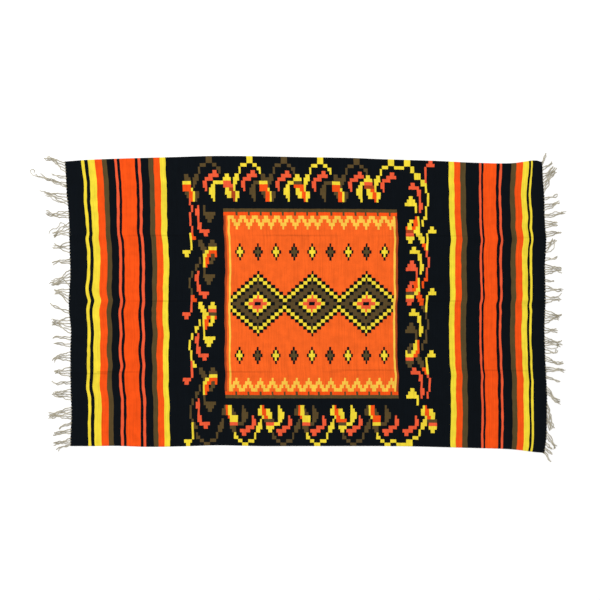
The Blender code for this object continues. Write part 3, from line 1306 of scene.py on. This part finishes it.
def make_piece(
    name: str,
    vertices: np.ndarray,
    faces: Sequence[Sequence[int]],
    material: bpy.types.Material,
) -> bpy.types.Object:
    """Turn millimetre vertices into a smooth piece that rides on the frame.

    Args:
        name: The piece's name.
        vertices: One row for each vertex, in millimetres.
        faces: Vertex numbers of each face, pointing out.
        material: The piece's material.

    Returns:
        The new object, at the origin.
    """
    mesh = bpy.data.meshes.new(name)
    mesh.from_pydata((vertices * MM).tolist(), [], faces)
    mesh.materials.append(material)
    piece = bpy.data.objects.new(name, mesh)
    bpy.context.collection.objects.link(piece)
    bpy.ops.object.select_all(action="DESELECT")
    piece.select_set(True)
    bpy.context.view_layer.objects.active = piece
    bpy.ops.object.shade_smooth_by_angle(angle=math.radians(SMOOTH_ANGLE))
    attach(piece, "root")
    LOG.info("%s: %d vertices, %d faces", name, len(mesh.vertices), len(mesh.polygons))
    return piece


def add_uv(mesh: bpy.types.Mesh, name: str, places: np.ndarray) -> None:
    """Add a UV map.

    Args:
        mesh: The mesh.
        name: The map's name.
        places: One row for each face corner, in the mesh's own order.
    """
    layer = mesh.uv_layers.new(name=name)
    layer.data.foreach_set("uv", np.ascontiguousarray(places, dtype=np.float32).ravel())


def add_wool(mesh: bpy.types.Mesh, colours: np.ndarray) -> None:
    """Add the "wool" colours that the tapestry's material reads.

    Args:
        mesh: The mesh.
        colours: One linear RGBA row for each face corner, in the mesh's own order.
    """
    layer = mesh.color_attributes.new(name="wool", type="FLOAT_COLOR", domain="CORNER")
    layer.data.foreach_set("color", colours.astype(np.float32).ravel())


class BakeBox(NamedTuple):
    """A rectangle of the bake map: its lower left corner and its size."""

    x: float
    y: float
    width: float
    height: float

    def fit(self, shares: np.ndarray) -> np.ndarray:
        """Put rows of two shares, each from 0 to 1, into the rectangle."""
        return shares * (self.width, self.height) + (self.x, self.y)


@dataclass
class WovenCloth:
    """The tapestry itself: a thin shell whose cells carry the stripes and the chart."""

    shape: ClothShape
    chart: Chart
    finish: TapestryWool
    widest_column: float = 26.0
    rows_per_cell: int = 2
    rim: float = 1.2
    rim_drop: float = 0.7
    rim_rise: float = 0.42
    wobble_along: float = 0.8
    wobble_across: float = 0.5
    wobble_blend: float = 1.9
    # Painted shade along the old fold lines: how far it reaches, its darkest share, and the length
    # over which its strength changes along X.
    fold_reach: float = 3.6
    painted_fold_darkest: float = 0.8
    fold_shade_length: float = 83.0
    top_box: BakeBox = BakeBox(0.005, 0.385, 0.99, 0.61)
    under_box: BakeBox = BakeBox(0.005, 0.01, 0.59, 0.36)
    edge_box: BakeBox = BakeBox(0.61, 0.02, 0.38, 0.03)
    edge_pitch: float = 0.05
    seed: int = 7

    def columns(self) -> tuple[np.ndarray, list[Wool | int]]:
        """Lines along X, and what lies between each and the next.

        Returns:
            The lines' places, and a wool for a stripe or a column number of the chart.
        """
        half = self.shape.length / 2.0
        inner = whole_width(LEFT_STRIPES + RIGHT_STRIPES)
        cell = (self.shape.length - inner) / self.chart.columns
        runs: list[tuple[float, Wool | int]] = [(s.width, s.wool) for s in LEFT_STRIPES]
        runs += [(cell, k) for k in range(self.chart.columns)]
        runs += [(s.width, s.wool) for s in RIGHT_STRIPES]
        lines = [-half]
        paints: list[Wool | int] = []
        for width, paint in runs:
            pieces = math.ceil(width / self.widest_column)
            for _ in range(pieces):
                lines.append(lines[-1] + width / pieces)
                paints.append(paint)
        lines[-1] = half
        return self.with_rim(lines, paints)

    def rows(self) -> tuple[np.ndarray, list[int]]:
        """Lines along Y, and the chart's row between each and the next.

        Returns:
            The lines' places, and the row numbers.
        """
        half = self.shape.width / 2.0
        count = self.chart.rows * self.rows_per_cell
        lines = list(np.linspace(-half, half, count + 1))
        numbers = [self.chart.rows - 1 - k // self.rows_per_cell for k in range(count)]
        return self.with_rim(lines, numbers)

    def with_rim(self, lines: list[float], fills: list) -> tuple[np.ndarray, list]:
        """Part a narrow rim off each edge, filled like its neighbour.

        Args:
            lines: Places of the lines.
            fills: What lies between each line and the next.

        Returns:
            The lines' places and what lies between them, the rims included.
        """
        first, *inner, last = lines
        places = np.array([first, first + self.rim, *inner, last - self.rim, last])
        return places, [fills[0], *fills, fills[-1]]

    def build(self) -> bpy.types.Object:
        """Build and dress the cloth.

        Returns:
            The cloth's object.
        """
        xs, paints = self.columns()
        ys, numbers = self.rows()
        nx = len(xs)
        ny = len(ys)
        grid_x, grid_y = np.meshgrid(xs, ys, indexing="ij")
        under = self.shape.lay(grid_x.ravel(), grid_y.ravel()).reshape(nx, ny, 3)
        under[:, :, :2] += self.wobble(nx, ny)
        top = under.copy()
        top[:, :, 2] += self.shape.wall
        rim = np.zeros((nx, ny), dtype=bool)
        rim[[0, -1], :] = True
        rim[:, [0, -1]] = True
        under[rim, 2] += self.rim_rise
        top[rim, 2] -= self.rim_drop
        vertices = np.concatenate((top.reshape(-1, 3), under.reshape(-1, 3)))
        vertices += self.shape.frame_shift()
        faces = self.faces(nx, ny)
        cloth = make_piece(
            "blanket_cloth_woven", vertices, faces.tolist(), self.finish.material()
        )
        corners = faces.ravel() % (nx * ny)
        weave = np.stack((grid_x.ravel()[corners], grid_y.ravel()[corners]), axis=-1)
        add_uv(cloth.data, "Weave", weave)
        add_uv(cloth.data, "OFBake", self.bake_places(weave, nx, ny))
        self.dye(cloth.data, paints, numbers, xs, ys)
        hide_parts("blanket_cloth")
        return cloth

    def wobble(self, nx: int, ny: int) -> np.ndarray:
        """Small unevenness of the woven lines, none at the edges.

        Args:
            nx: Lines along X.
            ny: Lines along Y.

        Returns:
            Shifts in X and Y for each crossing.
        """
        draws = np.random.default_rng(self.seed)
        shifts = draws.uniform(-1.0, 1.0, (nx, ny, 2))
        for _ in range(2):
            summed = shifts[:, :-2] + shifts[:, 1:-1] + shifts[:, 2:]
            shifts[:, 1:-1] = summed / self.wobble_blend
        shifts = np.clip(shifts, -1.0, 1.0) * (self.wobble_along, self.wobble_across)
        shifts[:2] = 0.0
        shifts[-2:] = 0.0
        shifts[:, :2] = 0.0
        shifts[:, -2:] = 0.0
        return shifts

    @staticmethod
    def faces(nx: int, ny: int) -> np.ndarray:
        """Quads of the top, the underside and the four edges, in that order.

        Args:
            nx: Lines along X.
            ny: Lines along Y.

        Returns:
            Four vertex numbers for each face.
        """
        top = np.arange(nx * ny).reshape(nx, ny)
        under = top + nx * ny
        groups = (
            (top[:-1, :-1], top[1:, :-1], top[1:, 1:], top[:-1, 1:]),
            (under[:-1, :-1], under[:-1, 1:], under[1:, 1:], under[1:, :-1]),
            (under[:-1, 0], under[1:, 0], top[1:, 0], top[:-1, 0]),
            (under[1:, -1], under[:-1, -1], top[:-1, -1], top[1:, -1]),
            (under[0, 1:], under[0, :-1], top[0, :-1], top[0, 1:]),
            (under[-1, :-1], under[-1, 1:], top[-1, 1:], top[-1, :-1]),
        )
        return np.concatenate([np.stack(group, axis=-1).reshape(-1, 4) for group in groups])

    def bake_places(self, weave: np.ndarray, nx: int, ny: int) -> np.ndarray:
        """Lay the faces out for baking: a large top, a smaller underside and four edge strips.

        Args:
            weave: The straight cloth's place of each face corner.
            nx: Lines along X.
            ny: Lines along Y.

        Returns:
            A place from 0 to 1 for each face corner.
        """
        share = weave / (self.shape.length, self.shape.width) + 0.5
        places = np.empty_like(share)
        flat = (nx - 1) * (ny - 1) * 4
        places[:flat] = self.top_box.fit(share[:flat])
        places[flat:2 * flat] = self.under_box.fit(share[flat:2 * flat])
        start = 2 * flat
        for k, (count, axis) in enumerate(((nx, 0), (nx, 0), (ny, 1), (ny, 1))):
            stop = start + (count - 1) * 4
            height = np.tile((0.0, 0.0, 1.0, 1.0), count - 1)
            box = self.edge_box._replace(y=self.edge_box.y + self.edge_pitch * k)
            places[start:stop] = box.fit(np.stack((share[start:stop, axis], height), axis=-1))
            start = stop
        return places

    def dye(
        self,
        mesh: bpy.types.Mesh,
        paints: list[Wool | int],
        numbers: list[int],
        xs: np.ndarray,
        ys: np.ndarray,
    ) -> None:
        """Give each face the colour of its wool, with painted shade along the old fold lines.

        Args:
            mesh: The cloth's mesh.
            paints: What lies between the lines along X.
            numbers: The chart's row between the lines along Y.
            xs: The lines along X.
            ys: The lines along Y.
        """
        colours = np.empty((len(xs) - 1, len(ys) - 1, 4))
        for i, paint in enumerate(paints):
            for j, row in enumerate(numbers):
                wool = paint if isinstance(paint, Wool) else self.chart.cells[row][paint]
                colours[i, j] = linear(wool.value)
        # Painted shade along the old fold lines darkens the wool colours.
        colours[..., :3] *= self.painted_fold_shade(xs, ys)[..., None]
        flat = colours.reshape(-1, 4)
        groups = (flat, flat, colours[:, 0], colours[:, -1], colours[0], colours[-1])
        add_wool(mesh, np.repeat(np.concatenate(groups), 4, axis=0))

    def painted_fold_shade(self, xs: np.ndarray, ys: np.ndarray) -> np.ndarray:
        """How much painted shade darkens each face that lies on an old fold line, more in some
        stretches than in others.

        Args:
            xs: The lines along X.
            ys: The lines along Y.

        Returns:
            A share of the wool's own colour for each face.
        """
        x = (xs[:-1] + xs[1:])[:, None] / 2.0
        y = (ys[:-1] + ys[1:])[None, :] / 2.0
        shade = np.ones((len(xs) - 1, len(ys) - 1))
        for crease in CREASES:
            middle = crease.middle(x / self.shape.length + 0.5)
            fold_darkness = 0.5 + 0.5 * np.sin(x / self.fold_shade_length + crease.y_left)
            on_fold = np.abs(y - middle) < self.fold_reach
            shade = np.where(on_fold, 1.0 - (1.0 - self.painted_fold_darkest) * fold_darkness, shade)
        return shade


@dataclass
class YarnBundle:
    """Tubes of yarn gathered into one mesh."""

    sides: int = 5
    flatness: float = 1.0
    bake_pitch: float = 1.25
    bake_margin: float = 0.01
    vertices: list[np.ndarray] = field(default_factory=list)
    faces: list[tuple[int, ...]] = field(default_factory=list)
    strand_places: list[np.ndarray] = field(default_factory=list)
    bake_places: list[np.ndarray] = field(default_factory=list)
    count: int = 0
    used: int = 0

    def add(self, line: np.ndarray, radii: np.ndarray) -> None:
        """Add one tube with closed ends.

        Args:
            line: Points along its middle, in millimetres.
            radii: Its radius at each point.
        """
        tangent = np.gradient(line, axis=0)
        tangent /= np.linalg.norm(tangent, axis=1, keepdims=True)
        beside = np.cross(tangent, (0.0, 0.0, 1.0))
        beside /= np.linalg.norm(beside, axis=1, keepdims=True)
        above = np.cross(beside, tangent)
        turn = 2.0 * math.pi * np.arange(self.sides) / self.sides
        rings = line[:, None] + radii[:, None, None] * (
            np.cos(turn)[None, :, None] * beside[:, None]
            + self.flatness * np.sin(turn)[None, :, None] * above[:, None]
        )
        self.vertices.append(rings.reshape(-1, 3))
        reached = reached_lengths(line)
        lane = self.count * self.bake_pitch
        last = len(line) - 1
        for k in range(last):
            here = self.used + k * self.sides
            there = here + self.sides
            ends = (reached[k], reached[k], reached[k + 1], reached[k + 1])
            for m in range(self.sides):
                n = (m + 1) % self.sides
                self.faces.append((here + m, here + n, there + n, there + m))
                around = (m, m + 1, m + 1, m)
                places = np.array([(e, a / self.sides) for e, a in zip(ends, around)])
                self.strand_places.append(places)
                self.bake_places.append(places / (reached[-1], 1.0) + (0.0, lane))
        first = self.used
        final = self.used + last * self.sides
        self.faces.append(tuple(first + m for m in reversed(range(self.sides))))
        self.faces.append(tuple(final + m for m in range(self.sides)))
        for end in (0.0, 1.0):
            self.strand_places.append(np.full((self.sides, 2), (end * reached[-1], 0.0)))
            self.bake_places.append(np.full((self.sides, 2), (end, lane)))
        self.used += len(line) * self.sides
        self.count += 1

    def build(
        self, name: str, shift: np.ndarray, material: bpy.types.Material, slot: str
    ) -> bpy.types.Object:
        """Turn the bundle into a piece.

        Args:
            name: The piece's name.
            shift: The frame's shift in millimetres.
            material: The piece's material.
            slot: Not used.

        Returns:
            The new object.
        """
        piece = make_piece(name, np.concatenate(self.vertices) + shift, self.faces, material)
        add_uv(piece.data, "Strand", np.concatenate(self.strand_places))
        margin = self.bake_margin
        side = 1.0 - 2.0 * margin
        box = BakeBox(margin, margin, side, side / (self.count * self.bake_pitch))
        add_uv(piece.data, "OFBake", box.fit(np.concatenate(self.bake_places)))
        return piece


@dataclass
class HeadingCord:
    """The last picks at one end: a black wool cord that the warp groups pull into scallops."""

    shape: ClothShape
    end: End
    finish: TapestryWool
    step: float = 1.8
    sides: int = 8
    scallop_pitch: float = 12.0
    pitch_drift: float = 0.35
    drift_length: float = 47.0
    shallowest: float = 0.5
    depth_length: float = 31.0
    depth_start: float = 1.0
    thin: float = 0.7
    thick: float = 3.9
    flatness: float = 0.42
    out: float = 0.6
    above_middle: float = 0.15
    floor_gap: float = 0.1

    def build(self) -> bpy.types.Object:
        """Build and dress the cord.

        Returns:
            The cord's object.
        """
        count = round(self.shape.width / self.step) + 1
        line = self.shape.end_line(self.end, count)
        line[:, 0] += self.end.value * self.out
        line[:, 2] += self.shape.wall / 2.0 + self.above_middle
        along = line[:, 1]
        drift = self.pitch_drift * np.sin(along / self.drift_length)
        scallop = np.abs(np.sin(math.pi * (along / self.scallop_pitch + drift)))
        change = 0.5 * (1.0 - self.shallowest)
        depth = 1.0 - change + change * np.sin(along / self.depth_length + self.depth_start)
        radii = self.thin + (self.thick - self.thin) * scallop * depth
        line[:, 2] = np.maximum(line[:, 2], radii * self.flatness + self.floor_gap)
        bundle = YarnBundle(sides=self.sides, flatness=self.flatness)
        bundle.add(line, radii)
        name = f"heading_{self.end.name.lower()}"
        cord = bundle.build(name, self.shape.frame_shift(), self.finish.material(), "wool_tapestry")
        cord.data.uv_layers["Strand"].name = "Weave"
        add_wool(cord.data, np.tile(linear(Wool.BLACK.value), (len(cord.data.loops), 1)))
        return cord


class Sway(NamedTuple):
    """The range of a thread's waves: their height and their length."""

    lowest: float
    highest: float
    shortest: float
    longest: float


THREAD_SWAYS = (
    Sway(1.0, 3.0, 34.0, 60.0),
    Sway(0.4, 1.3, 14.0, 22.0),
)


@dataclass
class Fringe:
    """One end's fringe: warp ends twisted by threes into threads that gather in loose clumps."""

    shape: ClothShape
    end: End
    clumps: Sequence[Clump]
    strays: Sequence[Sequence[tuple[float, float]]]
    finish: CottonWarp
    seed: int
    plies: int = 3
    ply_radius: float = 0.95
    twist_radius: float = 1.0
    twist_length: float = 13.0
    root_pitch: float = 2.4
    gather_length: float = 10.0
    root_inset: float = 2.5
    still_length: float = 4.0
    settle_length: float = 24.0
    drop_length: float = 22.0
    highest_hump: float = 1.5
    bend: tuple[float, float] = (0.5, 0.42)
    lane_spacing: float = 3.5
    tip_spread: float = 1.7
    tip_drift: float = 3.0
    shortest_end: float = 0.66
    fray_from: tuple[float, float] = (0.78, 0.9)
    fray_share: float = 0.14
    fray_width: float = 2.6
    fray_curl: float = 1.5
    ply_loss: float = 0.10
    ply_thinning: float = 0.45
    thin_length: float = 9.0
    stray_plies: int = 2
    stray_twist: float = 0.55
    stray_wave: float = 0.9
    stray_wave_length: float = 19.0
    stray_settle: float = 20.0
    stray_hump: float = 2.2
    stray_thinning: float = 0.5
    any_phase: float = 6.3
    fewest_points: int = 8
    point_step: float = 2.6
    floor_gap: float = 0.3
    draws: np.random.Generator = field(init=False)
    edge: np.ndarray = field(init=False)
    bundle: YarnBundle = field(init=False, default_factory=YarnBundle)

    def __post_init__(self) -> None:
        """Set up the fringe's own draws and find the cloth's edge beside it."""
        self.draws = np.random.default_rng(self.seed)
        self.edge = self.shape.end_line(self.end)

    def build(self) -> bpy.types.Object:
        """Build and dress the fringe.

        Returns:
            The fringe's object.
        """
        for clump in self.clumps:
            for index in range(clump.threads):
                self.add_thread(self.thread_route(clump, index))
        for stray in self.strays:
            self.add_stray(np.array(stray))
        side = self.end.name.lower()
        fringe = self.bundle.build(
            f"fringe_{side}_yarn", self.shape.frame_shift(), self.finish.material(), "cotton_warp"
        )
        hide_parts(f"fringe_{side}")
        return fringe

    def thread_route(self, clump: Clump, index: int) -> np.ndarray:
        """Route of one thread as (out, y) places: root, meeting place and tip.

        Args:
            clump: The thread's clump.
            index: Which of its threads, from the lowest root up.

        Returns:
            The route's places, one row each.
        """
        share = index / (clump.threads - 1)
        root_y = clump.root_low + (clump.root_high - clump.root_low) * share
        lane = (index - (clump.threads - 1) / 2.0) * self.lane_spacing
        run = np.array((clump.tip_out - clump.meet_out, clump.tip_y - clump.meet_y))
        normal = np.array((-run[1], run[0])) / np.linalg.norm(run)
        meet = np.array((clump.meet_out, clump.meet_y)) + lane * normal
        drift = self.draws.uniform(-self.tip_drift, self.tip_drift)
        tip = np.array((clump.tip_out, clump.tip_y)) + (lane * self.tip_spread + drift) * normal
        reach = self.draws.uniform(self.shortest_end, 1.0)
        bend = (meet[0] * self.bend[0], root_y + (meet[1] - root_y) * self.bend[1])
        return np.array(((0.0, root_y), bend, meet, meet + (tip - meet) * reach))

    def even_line(self, route: np.ndarray) -> tuple[np.ndarray, np.ndarray]:
        """Round a route off and read it at even steps.

        Args:
            route: (out, y) places.

        Returns:
            The places along the smooth route, and the length reached at each.
        """
        reached = reached_lengths(route)
        count = max(self.fewest_points, round(reached[-1] / self.point_step))
        along = np.linspace(0.0, reached[-1], count)
        line = np.stack([SmoothCurve(reached, route[:, k]).at(along) for k in (0, 1)], axis=-1)
        return line, along

    def to_floor(self, line: np.ndarray, height: np.ndarray) -> np.ndarray:
        """Turn (out, y) places and heights into points beside the cloth's end.

        Args:
            line: (out, y) places.
            height: The height of each above the floor.

        Returns:
            Points in millimetres, one row each.
        """
        edge_x = np.interp(line[:, 1], self.edge[:, 1], self.edge[:, 0])
        return np.stack((edge_x + self.end.value * line[:, 0], line[:, 1], height), axis=-1)

    def middle_height(
        self, along: np.ndarray, root_y: float, twist: float, hump: float
    ) -> np.ndarray:
        """Height of a thread's middle, which drops from the cloth's edge and lies on the floor.

        Args:
            along: The length reached at each point.
            root_y: Where on the cloth's end the thread starts.
            twist: The radius that its plies turn about its middle.
            hump: How far its middle stretch stands off the floor.

        Returns:
            The height at each point.
        """
        edge_height = float(np.interp(root_y, self.edge[:, 1], self.edge[:, 2]))
        root = self.shape.wall / 2.0 + edge_height
        floor = self.floor_gap + self.ply_radius + twist
        bow = hump * np.sin(math.pi * along / along[-1]) ** 2
        return floor + bow + (root - floor) * (1.0 - smoothstep(along / self.drop_length))

    def add_ply(
        self,
        places: np.ndarray,
        height: np.ndarray,
        along: np.ndarray,
        kept: float,
        thinning: float,
    ) -> None:
        """Add one ply, cut off at its length and thinner at its tip.

        Args:
            places: Its (out, y) places.
            height: The height of each.
            along: The length reached at each.
            kept: The length where it ends.
            thinning: The share of its radius that its tip loses.
        """
        chosen = along <= kept
        places = places[chosen]
        places[0, 0] = -self.root_inset
        height = np.maximum(height, self.ply_radius + self.floor_gap)
        tip = smoothstep((along - kept + self.thin_length) / self.thin_length)
        radii = self.ply_radius * (1.0 - thinning * tip)
        self.bundle.add(self.to_floor(places, height[chosen]), radii[chosen])

    def add_thread(self, route: np.ndarray) -> None:
        """Add one thread of three plies, which part at the root and fray at the tip.

        Args:
            route: The thread's (out, y) places.
        """
        draws = self.draws
        line, along = self.even_line(route)
        length = along[-1]
        normal = self.normals(line)
        sway = np.zeros_like(along)
        for ranges in THREAD_SWAYS:
            height = draws.uniform(ranges.lowest, ranges.highest)
            turn = 2.0 * math.pi * along / draws.uniform(ranges.shortest, ranges.longest)
            sway += height * np.sin(turn + draws.uniform(0.0, self.any_phase))
        settled = smoothstep((along - self.still_length) / self.settle_length)
        line = line + normal * (sway * settled)[:, None]
        hump = draws.uniform(0.0, self.highest_hump)
        centre = self.middle_height(along, line[0, 1], self.twist_radius, hump)
        fray = length * draws.uniform(*self.fray_from)
        loose = smoothstep((along - fray) / (length * self.fray_share))
        phase = draws.uniform(0.0, self.any_phase)
        gathered = smoothstep(along / self.gather_length)
        tight = gathered * (1.0 - loose)
        for ply in range(self.plies):
            turn = phase + 2.0 * math.pi * (ply / self.plies + along / self.twist_length)
            apart = ply - (self.plies - 1) / 2.0
            beside = self.twist_radius * np.cos(turn) * tight
            beside += apart * self.root_pitch * (1.0 - gathered)
            fray_side = apart * self.fray_width + draws.uniform(-1.0, 1.0)
            beside += fray_side * loose ** self.fray_curl
            height = centre + self.twist_radius * np.sin(turn) * tight
            height -= (height - self.floor_gap - self.ply_radius) * loose
            kept = length * (1.0 - self.ply_loss * draws.uniform(0.0, 1.0))
            places = line + normal * beside[:, None]
            self.add_ply(places, height, along, kept, self.ply_thinning)

    def add_stray(self, route: np.ndarray) -> None:
        """Add one loose yarn of two plies that follows its own route.

        Args:
            route: The yarn's (out, y) places.
        """
        line, along = self.even_line(route)
        normal = self.normals(line)
        turn = 2.0 * math.pi * along / self.stray_wave_length
        wave = self.stray_wave * np.sin(turn + self.draws.uniform(0.0, self.any_phase))
        line = line + normal * (wave * smoothstep(along / self.stray_settle))[:, None]
        twist = self.stray_twist * self.twist_radius
        centre = self.middle_height(along, line[0, 1], twist, self.stray_hump)
        for ply in range(self.stray_plies):
            turn = 2.0 * math.pi * (ply / self.stray_plies + along / self.twist_length)
            places = line + normal * (twist * np.cos(turn))[:, None]
            height = centre + twist * np.sin(turn)
            self.add_ply(places, height, along, along[-1], self.stray_thinning)

    @staticmethod
    def normals(line: np.ndarray) -> np.ndarray:
        """Unit normals of a line of (out, y) places, a quarter turn to its left."""
        run = np.gradient(line, axis=0)
        normal = np.stack((-run[:, 1], run[:, 0]), axis=-1)
        return normal / np.linalg.norm(normal, axis=1, keepdims=True)


@dataclass
class Studio:
    """Background paper, soft light from above and a camera straight over the blanket."""

    paper: StudioPaper
    shape: ClothShape
    floor_size: float = 9.0
    view_width: float = 2400.0
    view_middle: tuple[float, float] = (-29.2, 8.0)
    lens: float = 100.0
    sensor: float = 36.0
    sky_strength: float = 0.77
    key_power: float = 300.0
    key_size: float = 4.5
    key_place: tuple[float, float, float] = (-2.2, 2.9, 6.2)

    def build(self) -> None:
        """Set up the floor, the lights and the camera."""
        bpy.context.scene.view_settings.view_transform = "Standard"
        self.lay_floor()
        self.light()
        self.aim_camera()

    def lay_floor(self) -> None:
        """Lay the paper under the blanket."""
        bpy.ops.object.select_all(action="DESELECT")
        bpy.ops.mesh.primitive_plane_add(size=self.floor_size, location=(0.0, 0.0, 0.0))
        floor = bpy.context.object
        floor.name = "studio_floor"
        floor.data.materials.append(self.paper.material())

    def light(self) -> None:
        """Light the scene with an even white sky and one large soft lamp."""
        world = bpy.data.worlds.new("studio_sky")
        world.use_nodes = True
        sky = world.node_tree.nodes["Background"]
        sky.inputs["Color"].default_value = (1.0, 1.0, 1.0, 1.0)
        sky.inputs["Strength"].default_value = self.sky_strength
        bpy.context.scene.world = world
        x, y, z = self.key_place
        bpy.ops.object.light_add(type="AREA", location=self.key_place)
        lamp = bpy.context.object
        lamp.name = "key_light"
        lamp.data.energy = self.key_power
        lamp.data.size = self.key_size
        lamp.rotation_euler = (math.atan2(math.hypot(x, y), z), 0.0, math.atan2(x, -y))

    def aim_camera(self) -> None:
        """Put the camera straight above, as far off as the photograph's frame needs."""
        shift = self.shape.frame_shift()
        x = (self.view_middle[0] + shift[0]) * MM
        y = (self.view_middle[1] + shift[1]) * MM
        height = self.view_width * MM * self.lens / self.sensor
        bpy.ops.object.camera_add(location=(x, y, height), rotation=(0.0, 0.0, 0.0))
        camera = bpy.context.object
        camera.name = "camera_above"
        camera.data.lens = self.lens
        camera.data.sensor_width = self.sensor
        bpy.context.scene.camera = camera


def main() -> None:
    """Build the blanket, piece by piece, and the studio around it."""
    logging.basicConfig(level=logging.INFO, format="%(name)s: %(message)s")
    shape = ClothShape()
    wool = TapestryWool()
    cotton = CottonWarp()
    Studio(StudioPaper(), shape).build()
    cloth = WovenCloth(shape, Chart(), wool).build()
    extras = [
        HeadingCord(shape, End.LEFT, wool).build(),
        HeadingCord(shape, End.RIGHT, wool).build(),
        Fringe(shape, End.LEFT, LEFT_CLUMPS, LEFT_STRAYS, cotton, seed=11).build(),
        Fringe(shape, End.RIGHT, RIGHT_CLUMPS, RIGHT_STRAYS, cotton, seed=23).build(),
    ]


if __name__ == "__main__":
    main()
